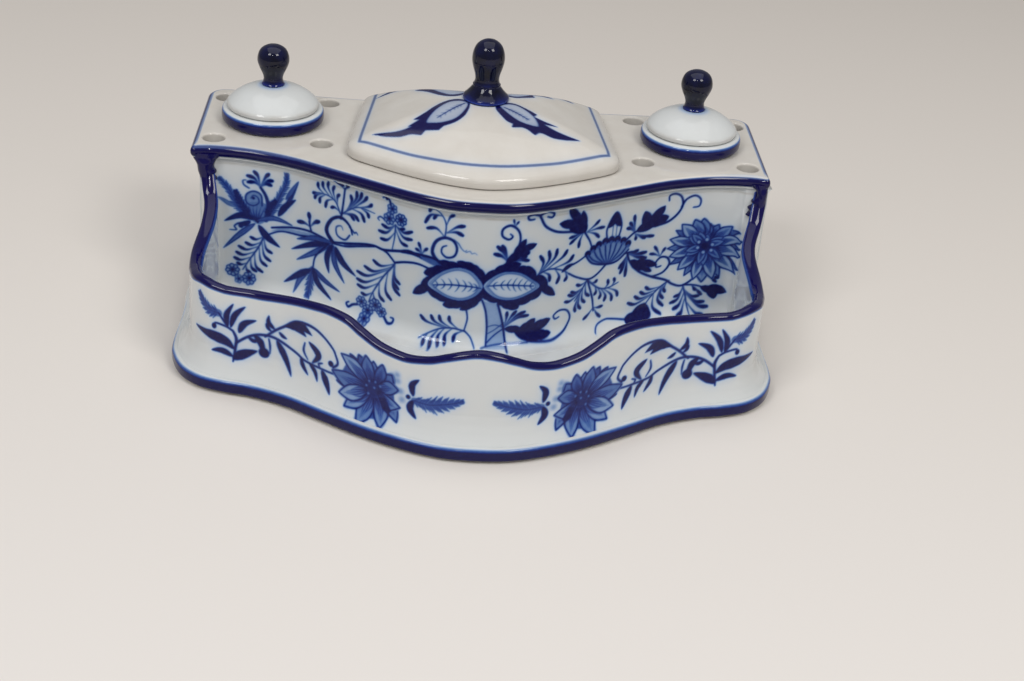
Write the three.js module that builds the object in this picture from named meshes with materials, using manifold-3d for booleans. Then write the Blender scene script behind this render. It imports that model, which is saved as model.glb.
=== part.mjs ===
// Porcelain desk inkstand. A low pen tray with a wavy front wall stands before a raised case.
// The case carries a serpentine deck with eight pen holes, two lift-out ink pots with domed lids,
// and a large lidded compartment between them.
// Millimetres. X runs along the front, +Y to the back, +Z up. The table is z = 0, and the foot's
// outline is centred on x = 0, y = 0.
import * as THREE from 'three';
import { mergeVertices } from 'three/addons/utils/BufferGeometryUtils.js';
import Module from 'manifold-3d';

const wasm = await Module();
wasm.setup();

// Driving dimensions of the whole stand
const standWidth = 241;          // across the foot
const standDepth = 183;          // foot, front centre to back
const deckHeight = 72;           // table to the deck's top face
const seatGap = 0.3;             // between two pieces that touch

// Foot plate and the unglazed step that it stands on
const stepHeight = 1.3;
const stepInset = 3;
const footThickness = 5.2;
const footCorner = 9;            // radius of the foot's rear corners in plan
const footEdge = 1.6;            // width of the foot's rounded top edge

// Walls: the low wall round the tray, and the thinner case walls
const galleryThickness = 4;
const galleryInset = 5.5;        // outer face in from the foot's edge
const skirtInset = 2.2;          // where the flared skirt meets the foot
const skirtHeight = 10.5;        // height of the flare
const rimRound = 1.6;            // rounding of the wall's top edge
const galleryPeak = 46.1;        // heights of the wall's top above the table
const galleryDip = 37.3;
const gallerySplitX = 98;        // where the front wall ends and the wings begin
const wingInset = 2.1;           // how much further in the wings run at their narrowest
const wingSwell = 1.6;           // how much thicker the wings become than the front wall
const wingHollow = 42.6;         // lowest height of the wings' top edge
const caseThickness = 3.6;
const caseInset = 4.7;
const panelSetback = 3;          // case front behind the deck's front edge
const panelEndGap = 0.8;         // at the panel's ends, where the case sides curve slightly
const dividerThickness = 4;
const dividerOffset = 29.3;      // middle of each divider from the pot's axis

// Deck
const deckThickness = 5.5;
const deckRecess = 2.5;          // deck's side edges in from the foot's
const deckSetback = 2;           // deck's back edge ahead of the foot's
const deckSwell = 39;            // front centre ahead of the front corners
const deckSide = 68;             // front corner to the back edge
const deckBow = 4;               // how far the back edge curves in at its middle
const deckCorner = 8;
const deckEdge = 2.2;            // width of the deck's rounded edge
const penRadius = 4.4;
const penSpanX = 21.8;           // pen hole from the pot's axis, along X and Y
const penSpanY = 22.8;
const penFit = 0.2;              // extra radius where a pen hole runs down beside a wall

// Ink pots, round lids and their knobs
const potMargin = 30.2;          // pot axis in from the deck's side edge
const potShift = 0.1;            // pot axis ahead of the middle of the deck's side edge
const potRadius = 16.5;
const potDepth = 38;
const potWall = 3;
const potFit = 1.2;              // radial play of the pot in its bore
const flangeRadius = 21.2;
const flangeHeight = 6.3;
const lidRadius = 19;
const lidRise = 8.2;             // height of the dome above its rim
const lidRim = 1.4;
const lidWall = 2.6;
const spigotDrop = 3.4;          // locating ring under a lid
const spigotPlay = 0.5;
const knobRadius = 6.55;
const knobHeight = 16.4;
const knobNeck = 4.2;

// Large lid of the middle compartment and its finial
const hatchOffset = 31.9;        // front corners from the pots' axes
const hatchTaper = 5.3;          // back corners further in than the front ones
const hatchAdvance = 2.5;        // front corners ahead of the deck's front corners
const hatchMargin = 10.3;        // back corners ahead of the deck's back edge
const hatchSwell = 25;           // front centre ahead of the front corners
const hatchCorner = 6;
const hatchRim = 6.2;            // height of the rim
const hatchShoulder = 4.2;       // width of the rim's rounding
const hatchRise = 12.8;          // dome above its rim
const hatchWall = 3;
const hatchLedge = 5.5;          // how far the lid overlaps the deck round its opening
const finialSetback = 24;        // finial axis behind the deck's front corners
const bellRadius = 9.4;
const bellHeight = 5.7;
const acornRadius = 6.7;
const acornHeight = 18.7;
const acornNeck = 5;

// How far cuts run past what they cut
const cutOverrun = 2;

// Heights and depths that follow
const deckWidth = standWidth - 2 * deckRecess;
const backY = standDepth / 2;
const cornerY = backY - deckSetback - deckSide;  // the deck's front corners
const frontSwell = backY + cornerY;             // how far the foot reaches ahead of them
const footTop = stepHeight + footThickness;
const wallFoot = footTop + seatGap;
const deckUnder = deckHeight - deckThickness;
const wallTop = deckUnder - seatGap;
const potX = deckWidth / 2 - potMargin;
const potY = cornerY + deckSide / 2 - potShift;
const dividerX = potX - dividerOffset;
const hatchFront = potX - hatchOffset;          // half widths of the large lid at its corners
const hatchBack = hatchFront - hatchTaper;
const hatchSide = deckSide + hatchAdvance - hatchMargin;
const finialY = cornerY + finialSetback;
const halfTurn = Math.PI;

// Shapes of the curves, as shares of the sizes that they follow
const footFrontShares = [
  [0, 1], [0.105, 0.991], [0.215, 0.953], [0.34, 0.889], [0.47, 0.803], [0.6, 0.713],
  [0.715, 0.66], [0.805, 0.637], [0.885, 0.604], [0.948, 0.54], [0.985, 0.45], [0.996, 0.36],
  [0.992, 0.13], [0.999, 0.02], [1, -0.1],
];
const deckFrontShares = [
  [0, 1], [0.115, 0.972], [0.24, 0.83], [0.365, 0.63], [0.51, 0.385], [0.65, 0.155],
  [0.795, 0.005], [0.92, -0.035], [1, 0],
];
// Height of the front wall's top edge, from its dip (0) to its peak (1), along half the front.
// The point before 0 mirrors the one after it, which keeps the middle smooth.
const gallerySwingShares = [
  [-0.07, 0.64], [0, 0.76], [0.07, 0.64], [0.14, 0.4], [0.2, 0.16], [0.27, 0.02], [0.33, 0.06],
  [0.4, 0.23], [0.47, 0.57], [0.53, 0.89], [0.6, 1], [0.67, 0.96], [0.75, 0.85], [0.87, 0.71], [1, 0.7],
];
// Height of a wing's top edge, from its hollow (0) to the deck (1), front to back
const wingRiseShares = [
  [0, 0.034], [0.15, 0.09], [0.28, 0.055], [0.42, 0], [0.55, 0.01], [0.68, 0.1], [0.8, 0.24],
  [0.9, 0.45], [0.965, 0.74], [1, 1],
];
// Extra inset of a wing, front to back
const wingInsetShares = [[0, 0], [0.2, 0.35], [0.4, 0.8], [0.6, 0.75], [0.78, 1], [0.9, 0.7], [1, -0.2]];
// Extra thickness of a wing, front to back
const wingSwellShares = [[0, 0], [0.5, 0.85], [1, 1]];
const skirtShares = [[0, 0], [0.28, 0.17], [0.58, 0.38], [0.84, 0.66], [1, 1]];
const hatchFrontShares = [[0, 1], [0.2, 0.93], [0.4, 0.77], [0.6, 0.55], [0.8, 0.29], [1, 0]];
const domeShares = [0.92, 0.78, 0.6, 0.4, 0.2];
const domePower = 1.85;          // fullness of the large lid's dome
const knobShares = [
  [1, 0], [0.96, 0.06], [0.95, 0.16], [1.08, 0.27], [1.36, 0.42], [1.56, 0.58], [1.5, 0.74],
  [1.22, 0.88], [0.66, 0.97],
];
const acornShares = [
  [1, 0], [0.98, 0.1], [1.06, 0.22], [1.24, 0.38], [1.34, 0.54], [1.27, 0.71], [1.02, 0.86],
  [0.56, 0.96],
];
const bellShares = [[1, 0], [0.98, 0.14], [0.86, 0.34], [0.72, 0.6], [0.6, 0.86], [0.56, 1]];

// How finely curves are divided
const frontSteps = 44;
const wingSteps = 22;
const sideSteps = 4;
const backSteps = 20;
const cornerSteps = 4;
const outlineSteps = 26;
const lidSides = 32;
const knobSides = 20;
const holeSides = 16;

const glazeWhite = 0xd3d6d8;
const glazeCobalt = 0x161a48;

function finish(colour) {
  return new THREE.MeshStandardMaterial({ color: colour, roughness: 0.15, metalness: 0 });
}

// Smooth reading of a table of [place, value] shares
function along(table, place) {
  const points = table.map(([a, b]) => new THREE.Vector2(a, b));
  const spline = new THREE.SplineCurve(points);
  let low = 0;
  let high = 1;
  for (let i = 0; i < 40; i += 1) {
    const mid = (low + high) / 2;
    if (spline.getPoint(mid).x < place) low = mid;
    else high = mid;
  }
  return spline.getPoint((low + high) / 2).y;
}

// Points of a curve given by shares, from the front centre to the right
function curvePoints(table, halfWidth, swell, steps) {
  const right = table.map(([a, b]) => new THREE.Vector2(a * halfWidth, cornerY - b * swell));
  const left = right.slice(1).reverse().map((p) => new THREE.Vector2(-p.x, p.y));
  const spline = new THREE.SplineCurve([...left, ...right]);
  const points = [];
  for (let i = 0; i <= steps; i += 1) points.push(spline.getPoint(0.5 + (0.5 * i) / steps));
  return points;
}

function arcPoints(centreX, centreY, radius, from, to, steps) {
  const points = [];
  for (let i = 0; i <= steps; i += 1) {
    const angle = from + ((to - from) * i) / steps;
    points.push(new THREE.Vector2(centreX + radius * Math.cos(angle), centreY + radius * Math.sin(angle)));
  }
  return points;
}

// A path with its length measured, which gives the point and inward normal at any distance
function measuredPath(points) {
  const lengths = [0];
  for (let i = 1; i < points.length; i += 1) {
    lengths.push(lengths[i - 1] + points[i].distanceTo(points[i - 1]));
  }
  const total = lengths[lengths.length - 1];
  const place = (distance) => {
    const s = Math.min(Math.max(distance, 0), total);
    let i = 1;
    while (i < points.length - 1 && lengths[i] < s) i += 1;
    const t = (s - lengths[i - 1]) / (lengths[i] - lengths[i - 1]);
    return points[i - 1].clone().lerp(points[i], t);
  };
  const reach = total / (points.length * 2);
  const at = (distance) => {
    const sign = distance < 0 ? -1 : 1;
    const s = Math.abs(distance);
    const p = place(s);
    const ahead = s < reach ? place(reach) : place(s + reach);
    const behind = s < reach ? new THREE.Vector2(-ahead.x, ahead.y) : place(s - reach);
    const tangent = ahead.sub(behind).normalize();
    return { x: sign * p.x, y: p.y, nx: -sign * tangent.y, ny: tangent.x };
  };
  const where = (axis, value) => {
    const i = points.findIndex((p) => p[axis] >= value);
    const t = (value - points[i - 1][axis]) / (points[i][axis] - points[i - 1][axis]);
    return lengths[i - 1] + t * (lengths[i] - lengths[i - 1]);
  };
  return { total, at, where };
}

// Signed volume tells which way the faces point
function outward(positions, indices) {
  let volume = 0;
  const a = new THREE.Vector3();
  const b = new THREE.Vector3();
  const c = new THREE.Vector3();
  for (let i = 0; i < indices.length; i += 3) {
    a.fromArray(positions, indices[i] * 3);
    b.fromArray(positions, indices[i + 1] * 3);
    c.fromArray(positions, indices[i + 2] * 3);
    volume += a.dot(b.cross(c));
  }
  if (volume < 0) {
    for (let i = 0; i < indices.length; i += 3) {
      [indices[i], indices[i + 1]] = [indices[i + 1], indices[i]];
    }
  }
  const geometry = new THREE.BufferGeometry();
  geometry.setAttribute('position', new THREE.Float32BufferAttribute(positions, 3));
  geometry.setIndex(indices);
  return geometry;
}

// Rings of points joined in order, each ring closed, the first and last ring capped
function loft(rings, capRing) {
  const count = rings[0].length;
  const positions = rings.flat().flatMap((p) => [p.x, p.y, p.z]);
  const indices = [];
  for (let r = 0; r < rings.length - 1; r += 1) {
    for (let i = 0; i < count; i += 1) {
      const j = (i + 1) % count;
      const a = r * count + i;
      const b = r * count + j;
      const c = (r + 1) * count + j;
      const d = (r + 1) * count + i;
      indices.push(a, b, c, a, c, d);
    }
  }
  capRing(rings[0], 0, true, positions, indices);
  capRing(rings[rings.length - 1], (rings.length - 1) * count, false, positions, indices);
  return outward(positions, indices);
}

// Cap of a level ring: a fan round its middle
function fanCap(ring, start, first, positions, indices) {
  const middle = ring.reduce((sum, p) => sum.add(p), new THREE.Vector3()).divideScalar(ring.length);
  const centre = positions.length / 3;
  positions.push(middle.x, middle.y, middle.z);
  ring.forEach((_, i) => {
    const j = (i + 1) % ring.length;
    indices.push(...(first ? [start + j, start + i, centre] : [start + i, start + j, centre]));
  });
}

// Cap of a wall's section, whose points are listed up the outer face and down the inner one
function stripCap(ring, start, first, positions, indices) {
  let low = 0;
  let high = ring.length - 1;
  while (high - low > 1) {
    const takeLow = ring[low + 1].z - ring[0].z < ring[high - 1].z - ring[0].z;
    const face = takeLow ? [low, low + 1, high] : [low, high - 1, high];
    const [a, b, c] = face.map((k) => start + k);
    indices.push(...(first ? [a, c, b] : [a, b, c]));
    if (takeLow) low += 1;
    else high -= 1;
  }
}

// A wall: a section of [inset, height] points carried along a plan path
function wallRing(path, s, section) {
  const { x, y, nx, ny } = path.at(s);
  return section.map(([inset, z]) => new THREE.Vector3(x + nx * inset, y + ny * inset, z));
}

function wall(path, distances, sectionAt) {
  return loft(distances.map((s) => wallRing(path, s, sectionAt(s))), stripCap);
}

function spread(from, to, steps) {
  return Array.from({ length: steps + 1 }, (_, i) => from + ((to - from) * i) / steps);
}

function toSolid(geometry) {
  const plain = geometry.clone();
  plain.deleteAttribute('normal');
  plain.deleteAttribute('uv');
  const merged = mergeVertices(plain);
  return new wasm.Manifold(new wasm.Mesh({
    numProp: 3,
    vertProperties: new Float32Array(merged.attributes.position.array),
    triVerts: new Uint32Array(merged.index.array),
  }));
}

function toGeometry(solid) {
  const mesh = solid.getMesh();
  const geometry = new THREE.BufferGeometry();
  geometry.setAttribute('position', new THREE.Float32BufferAttribute(mesh.vertProperties, 3));
  geometry.setIndex(new THREE.Uint32BufferAttribute(mesh.triVerts, 1));
  return geometry;
}

// A round bar standing on z, as a tool to cut with
function column(x, y, radius, low, high, sides) {
  const bar = new THREE.CylinderGeometry(radius, radius, high - low, sides);
  bar.rotateX(halfTurn / 2);
  bar.translate(x, y, (low + high) / 2);
  return toSolid(bar);
}

function cut(geometry, tools) {
  return toGeometry(tools.reduce((solid, tool) => solid.subtract(tool), toSolid(geometry)));
}

function mirrored(geometry) {
  const copy = geometry.clone();
  const positions = Array.from(copy.attributes.position.array);
  for (let i = 0; i < positions.length; i += 3) positions[i] *= -1;
  const indices = copy.index
    ? Array.from(copy.index.array)
    : Array.from({ length: positions.length / 3 }, (_, i) => i);
  return outward(positions, indices);
}

// The foot's edge: front curve, side, rear corner, back
function footPath() {
  const half = standWidth / 2;
  const front = curvePoints(footFrontShares, half, frontSwell, 120);
  const corner = arcPoints(half - footCorner, backY - footCorner, footCorner, 0, halfTurn / 2, 8);
  return measuredPath([...front, ...corner, new THREE.Vector2(0, backY)]);
}

// The deck's front edge as a function of distance from its centre
function deckPath() {
  return measuredPath(curvePoints(deckFrontShares, deckWidth / 2, deckSwell, 60));
}

const foot = footPath();
const deckFront = deckPath();

// Flared skirt up to the wall's outer face
function skirt(inset) {
  return skirtShares.map(([rise, reach]) => [
    skirtInset + (inset - skirtInset) * reach,
    wallFoot + skirtHeight * rise,
  ]);
}

// Closed section of a wall with a rounded top
function gallerySection(inset, top, thickness) {
  const inner = inset + thickness;
  const quarter = rimRound / 2;
  return [
    ...skirt(inset),
    [inset, top - rimRound],
    [inset + quarter, top - quarter / 2],
    [(inset + inner) / 2, top],
    [inner - quarter, top - quarter / 2],
    [inner, top - rimRound],
    [inner, wallFoot],
  ];
}

function caseSection(top) {
  const inner = caseInset + caseThickness;
  return [...skirt(caseInset), [caseInset, top], [inner, top], [inner, wallFoot]];
}

// Closed outline, from one half given front centre to back centre
function mirrorRing(half) {
  const left = half.slice(1, -1).reverse().map((p) => new THREE.Vector2(-p.x, p.y));
  return [...half, ...left];
}

function lift(ring, z) {
  return ring.map((p) => new THREE.Vector3(p.x, p.y, z));
}

function insetRing(path, distances, inset) {
  const half = distances.map((s) => {
    const { x, y, nx, ny } = path.at(s);
    return new THREE.Vector2(x + nx * inset, y + ny * inset);
  });
  half[0].x = 0;
  half[half.length - 1].x = 0;
  return mirrorRing(half);
}

// Foot plate with a rounded edge, on a step set in from it
function footPlate() {
  const cornerStart = foot.where('y', backY - footCorner);
  const cornerEnd = cornerStart + (footCorner * halfTurn) / 2;
  const distances = [
    ...spread(0, cornerStart, outlineSteps),
    ...spread(cornerStart, cornerEnd, cornerSteps).slice(1),
    foot.total,
  ];
  const ringAt = (inset, z) => lift(insetRing(foot, distances, inset), z);
  const round = footEdge / 2;
  return loft([
    ringAt(stepInset, 0),
    ringAt(stepInset, stepHeight),
    ringAt(round, stepHeight),
    ringAt(0, stepHeight + round),
    ringAt(0, footTop - footEdge),
    ringAt(round / 2, footTop - round / 2),
    ringAt(footEdge, footTop),
  ], fanCap);
}

const splitAt = foot.where('x', gallerySplitX);
const wingEnd = foot.where('y', cornerY + panelSetback) - seatGap;
const caseStart = wingEnd + seatGap;
const rearCorner = foot.where('y', backY - footCorner);

function galleryTop(s) {
  return galleryDip + (galleryPeak - galleryDip) * along(gallerySwingShares, Math.abs(s) / splitAt);
}

function wingTop(share) {
  return wingHollow + (wallTop - wingHollow) * along(wingRiseShares, share);
}

// Front wall of the tray
function galleryFront() {
  const distances = spread(-splitAt, splitAt, frontSteps);
  return wall(foot, distances, (s) => gallerySection(galleryInset, galleryTop(s), galleryThickness));
}

// Wing: runs round the front corner and rises in an S to the deck
function wing() {
  const distances = spread(splitAt + seatGap, wingEnd, wingSteps);
  return wall(foot, distances, (s) => {
    const share = (s - splitAt - seatGap) / (wingEnd - splitAt - seatGap);
    const inset = galleryInset + wingInset * along(wingInsetShares, share);
    const thickness = galleryThickness + wingSwell * along(wingSwellShares, share);
    return gallerySection(inset, wingTop(share), thickness);
  });
}

// Where the pens go: two rows of two holes round each pot
const penPlaces = [-1, 1].flatMap((side) => [-1, 1].flatMap((across) => [-1, 1].map((deep) => [
  side * (potX + across * penSpanX),
  potY + deep * penSpanY,
])));

// Pen holes that pass close to a wall are relieved into it
function relieve(geometry) {
  const tools = penPlaces.map(([x, y]) => (
    column(x, y, penRadius + penFit, footTop, deckHeight + cutOverrun, holeSides)
  ));
  return cut(geometry, tools);
}

function caseSide() {
  const distances = spread(caseStart, rearCorner - seatGap, sideSteps);
  return relieve(wall(foot, distances, () => caseSection(wallTop)));
}

function caseBack() {
  const end = foot.total;
  const turn = rearCorner + (footCorner * halfTurn) / 2;
  const half = [...spread(rearCorner, turn, 5), ...spread(turn, end, 5).slice(1)];
  const rings = half.map((s) => wallRing(foot, s, caseSection(wallTop)));
  rings[rings.length - 1].forEach((p) => { p.x = 0; });
  const left = rings.slice(0, -1).reverse().map((ring) => (
    ring.map((p) => new THREE.Vector3(-p.x, p.y, p.z))
  ));
  return loft([...rings, ...left], stripCap);
}

// Case front: a serpentine panel set back from the deck's edge, between the case sides
function panelHalf(inset) {
  const limit = standWidth / 2 - caseInset - caseThickness - panelEndGap;
  return spread(0, deckFront.total, backSteps * 2).map((s) => {
    const { x, y, nx, ny } = deckFront.at(s);
    return new THREE.Vector2(Math.min(x + nx * inset, limit), y + ny * inset);
  });
}

function panelEdge(inset) {
  const limit = standWidth / 2 - caseInset - caseThickness - panelEndGap;
  const half = panelHalf(inset);
  const end = half.findIndex((p) => p.x >= limit);
  const kept = end < 0 ? half : half.slice(0, end + 1);
  kept[0].x = 0;
  kept[kept.length - 1].x = limit;
  return kept;
}

// The panel's face, read at a distance x from the middle
function panelY(inset, x) {
  const edge = panelEdge(inset);
  const i = Math.max(1, edge.findIndex((p) => p.x >= x));
  const t = (x - edge[i - 1].x) / (edge[i].x - edge[i - 1].x);
  return edge[i - 1].y + (edge[i].y - edge[i - 1].y) * t;
}

function casePanel() {
  const limit = standWidth / 2 - caseInset - caseThickness - panelEndGap;
  const front = panelSetback;
  const back = panelSetback + caseThickness;
  const places = spread(-1, 1, frontSteps).map((share) => share * limit);
  const rings = places.map((x) => {
    const near = panelY(front, Math.abs(x));
    const far = panelY(back, Math.abs(x));
    return [[near, wallFoot], [near, wallTop], [far, wallTop], [far, wallFoot]]
      .map(([y, z]) => new THREE.Vector3(x, y, z));
  });
  return relieve(loft(rings, stripCap));
}

// Wall between the middle compartment and a pot's chamber
function divider() {
  const near = dividerX - dividerThickness / 2;
  const far = dividerX + dividerThickness / 2;
  const back = backY - caseInset - caseThickness - seatGap;
  const shy = panelSetback + caseThickness + seatGap;
  const outline = new THREE.Shape([
    new THREE.Vector2(near, panelY(shy, near)),
    new THREE.Vector2(far, panelY(shy, far)),
    new THREE.Vector2(far, back),
    new THREE.Vector2(near, back),
  ]);
  const slab = new THREE.ExtrudeGeometry(outline, { depth: wallTop - wallFoot, bevelEnabled: false });
  slab.translate(0, 0, wallFoot);
  return toGeometry(toSolid(slab));
}

// Deck outline from the front centre to the back centre
function deckHalf() {
  const half = deckWidth / 2;
  const back = cornerY + deckSide;
  const corner = arcPoints(half - deckCorner, back - deckCorner, deckCorner, 0, halfTurn / 2, 5);
  const bowSteps = 8;
  const bow = spread(half - deckCorner, 0, bowSteps).slice(1).map((x) => (
    new THREE.Vector2(x, back - deckBow * (1 - (x / (half - deckCorner)) ** 2))
  ));
  return measuredPath([...curvePoints(deckFrontShares, half, deckSwell, 26), ...corner, ...bow]);
}

// Outline of the large lid from the front centre to the back centre
function hatchPath() {
  const frontY = cornerY - hatchAdvance;
  const rearY = frontY + hatchSide;
  const front = hatchFrontShares.map(([a, b]) => new THREE.Vector2(a * hatchFront, frontY - b * hatchSwell));
  const left = front.slice(1).reverse().map((p) => new THREE.Vector2(-p.x, p.y));
  const spline = new THREE.SplineCurve([...left, ...front]);
  const steps = 14;
  const trim = hatchCorner / hatchFront;
  const points = spread(0, 1 - trim, steps).map((u) => spline.getPoint(0.5 + u / 2));
  const start = points[points.length - 1];
  const tip = new THREE.Vector2(hatchFront, frontY);
  const rear = new THREE.Vector2(hatchBack, rearY);
  const side = rear.clone().sub(tip).normalize();
  const turnIn = tip.clone().addScaledVector(side, hatchCorner);
  const turnOut = rear.clone().addScaledVector(side, -hatchCorner);
  const end = new THREE.Vector2(hatchBack - hatchCorner, rearY);
  const nose = new THREE.QuadraticBezierCurve(start, tip, turnIn).getPoints(4).slice(1);
  const heel = new THREE.QuadraticBezierCurve(turnOut, rear, end).getPoints(4);
  return measuredPath([...points, ...nose, ...heel, new THREE.Vector2(0, rearY)]);
}

const hatch = hatchPath();
const hatchStops = spread(0, hatch.total, outlineSteps);

// Deck slab with a rounded edge, pot bores, pen holes and the compartment's mouth
function deck() {
  const path = deckHalf();
  const distances = spread(0, path.total, outlineSteps * 2);
  const ringAt = (inset, z) => lift(insetRing(path, distances, inset), z);
  const round = deckEdge / 2;
  const slab = loft([
    ringAt(deckEdge, deckUnder),
    ringAt(round / 2, deckUnder + round),
    ringAt(0, deckUnder + deckEdge),
    ringAt(0, deckHeight - deckEdge),
    ringAt(round / 2, deckHeight - round / 2),
    ringAt(deckEdge, deckHeight),
  ], fanCap);
  const low = deckUnder - cutOverrun;
  const high = deckHeight + cutOverrun;
  const bores = [-1, 1].map((side) => (
    column(side * potX, potY, potRadius + potFit, low, high, lidSides)
  ));
  const pens = penPlaces.map(([x, y]) => column(x, y, penRadius, low, high, holeSides));
  const mouth = insetRing(hatch, hatchStops, hatchLedge);
  const opening = toSolid(loft([lift(mouth, low), lift(mouth, high)], fanCap));
  return cut(slab, [...bores, ...pens, opening]);
}

function turned(profile, sides) {
  const points = profile.map(([r, z]) => new THREE.Vector2(r, z));
  const lathe = new THREE.LatheGeometry(points, sides);
  lathe.rotateX(halfTurn / 2);
  const faced = outward(Array.from(lathe.attributes.position.array), Array.from(lathe.index.array));
  return toGeometry(toSolid(faced));
}

// Ink pot: a cup that hangs in the deck by a rounded flange
function inkPot() {
  const under = deckHeight + seatGap;
  const top = deckHeight + flangeHeight;
  const bottom = deckHeight - potDepth;
  const bore = potRadius - potWall;
  const lip = lidRadius - potWall + spigotPlay;
  const seat = top - spigotDrop - potWall / 2;
  const swell = flangeHeight / 2;
  return turned([
    [0, bottom],
    [potRadius - potWall / 2, bottom],
    [potRadius, bottom + potWall],
    [potRadius, under],
    [flangeRadius - potWall / 2, under],
    [flangeRadius, under + swell / 2],
    [flangeRadius, under + swell],
    [flangeRadius - potWall / 3, top - swell / 3],
    [lidRadius - potWall / 3, top],
    [lip, top],
    [lip, seat],
    [bore, seat],
    [bore, bottom + potWall],
    [0, bottom + potWall],
  ], lidSides);
}

// Round lid: a shallow dome over a rolled rim, with a locating ring under it
function roundLid() {
  const seat = deckHeight + flangeHeight + seatGap;
  const rimTop = seat + lidRim;
  const domeZ = (share) => rimTop + lidRise * (1 - share ** 2) ** 0.8;
  const spigot = lidRadius - potWall;
  const hollow = spigot - lidWall;
  const crown = [0.98, 0.9, 0.78, 0.62, 0.44, 0.25].map((share) => [share * lidRadius, domeZ(share)]);
  return turned([
    [0, domeZ(0) - lidWall],
    [hollow / 2, domeZ(hollow / 2 / lidRadius) - lidWall],
    [hollow, domeZ(hollow / lidRadius) - lidWall],
    [hollow, seat - spigotDrop],
    [spigot, seat - spigotDrop],
    [spigot, seat],
    [lidRadius - lidRim / 3, seat],
    [lidRadius, seat + lidRim / 2],
    ...crown,
    [0, domeZ(0)],
  ], lidSides);
}

const lidCrown = deckHeight + flangeHeight + seatGap + lidRim + lidRise;

function roundKnob() {
  const base = lidCrown + seatGap;
  const scale = knobRadius / (knobNeck * 1.56);
  const outline = knobShares.map(([r, z]) => [r * knobNeck * scale, base + z * knobHeight]);
  return turned([[0, base], ...outline, [0, base + knobHeight]], knobSides);
}

// Large lid: rounded rim, full dome, hollow underneath with a locating rib
const hatchSeat = deckHeight + seatGap;

function domeHeight(share) {
  return hatchSeat + hatchRim + hatchRise * (1 - share ** domePower);
}

function domeRing(inset, share, drop) {
  const outer = insetRing(hatch, hatchStops, inset);
  return outer.map((p) => new THREE.Vector3(
    p.x * share,
    finialY + (p.y - finialY) * share,
    domeHeight(share) - drop,
  ));
}

function hatchLid() {
  const ringAt = (inset, z) => lift(insetRing(hatch, hatchStops, inset), z);
  const shoulder = hatchShoulder;
  const ribOuter = hatchLedge + seatGap * 2;
  const ribInner = ribOuter + hatchWall;
  const flat = domeHeight(0);
  const seatShare = domeShares[domeShares.length - 1];
  const crown = domeRing(shoulder, seatShare, 0).map((p) => new THREE.Vector3(p.x, p.y, flat));
  const vault = domeRing(ribInner, seatShare, 0).map((p) => new THREE.Vector3(p.x, p.y, flat - hatchWall));
  return loft([
    crown,
    ...domeShares.slice(0, -1).reverse().map((share) => domeRing(shoulder, share, 0)),
    ringAt(shoulder, hatchSeat + hatchRim),
    ringAt(shoulder / 3, hatchSeat + hatchRim * 0.82),
    ringAt(0, hatchSeat + hatchRim * 0.5),
    ringAt(0, hatchSeat),
    ringAt(ribOuter, hatchSeat),
    ringAt(ribOuter, hatchSeat - spigotDrop),
    ringAt(ribInner, hatchSeat - spigotDrop),
    domeRing(ribInner, 1, hatchWall),
    domeRing(ribInner, 0.6, hatchWall),
    vault,
  ], fanCap);
}

const finialSeat = domeHeight(0) + seatGap;

function finialBell() {
  const outline = bellShares.map(([r, z]) => [r * bellRadius, finialSeat + z * bellHeight]);
  return turned([[0, finialSeat], ...outline, [0, finialSeat + bellHeight]], knobSides);
}

function finialAcorn() {
  const base = finialSeat + bellHeight + seatGap;
  const scale = acornRadius / (acornNeck * 1.34);
  const outline = acornShares.map(([r, z]) => [r * acornNeck * scale, base + z * acornHeight]);
  return turned([[0, base], ...outline, [0, base + acornHeight]], knobSides);
}

const inkstand = new THREE.Group();

function place(name, geometry, colour, x = 0, y = 0) {
  const mesh = new THREE.Mesh(geometry, finish(colour));
  mesh.name = name;
  mesh.position.set(x, y, 0);
  inkstand.add(mesh);
}

function placePair(name, geometry, colour) {
  place(`${name}_right`, geometry, colour);
  place(`${name}_left`, mirrored(geometry), colour);
}

place('foot_plate', footPlate(), glazeWhite);
place('gallery_front', galleryFront(), glazeWhite);
placePair('wing', wing(), glazeWhite);
place('case_panel', casePanel(), glazeWhite);
placePair('case_side', caseSide(), glazeWhite);
place('case_back', caseBack(), glazeWhite);
placePair('divider', divider(), glazeWhite);
place('deck', deck(), glazeWhite);
place('hatch_lid', hatchLid(), glazeWhite);
place('finial_bell', finialBell(), glazeCobalt, 0, finialY);
place('finial_acorn', finialAcorn(), glazeCobalt, 0, finialY);
for (const [hand, side] of [['left', -1], ['right', 1]]) {
  place(`ink_pot_${hand}`, inkPot(), glazeWhite, side * potX, potY);
  place(`pot_lid_${hand}`, roundLid(), glazeWhite, side * potX, potY);
  place(`lid_knob_${hand}`, roundKnob(), glazeCobalt, side * potX, potY);
}

export default inkstand;
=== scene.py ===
import bpy
import math
import numpy as np
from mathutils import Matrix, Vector
from mathutils.geometry import delaunay_2d_cdt, tessellate_polygon


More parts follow.
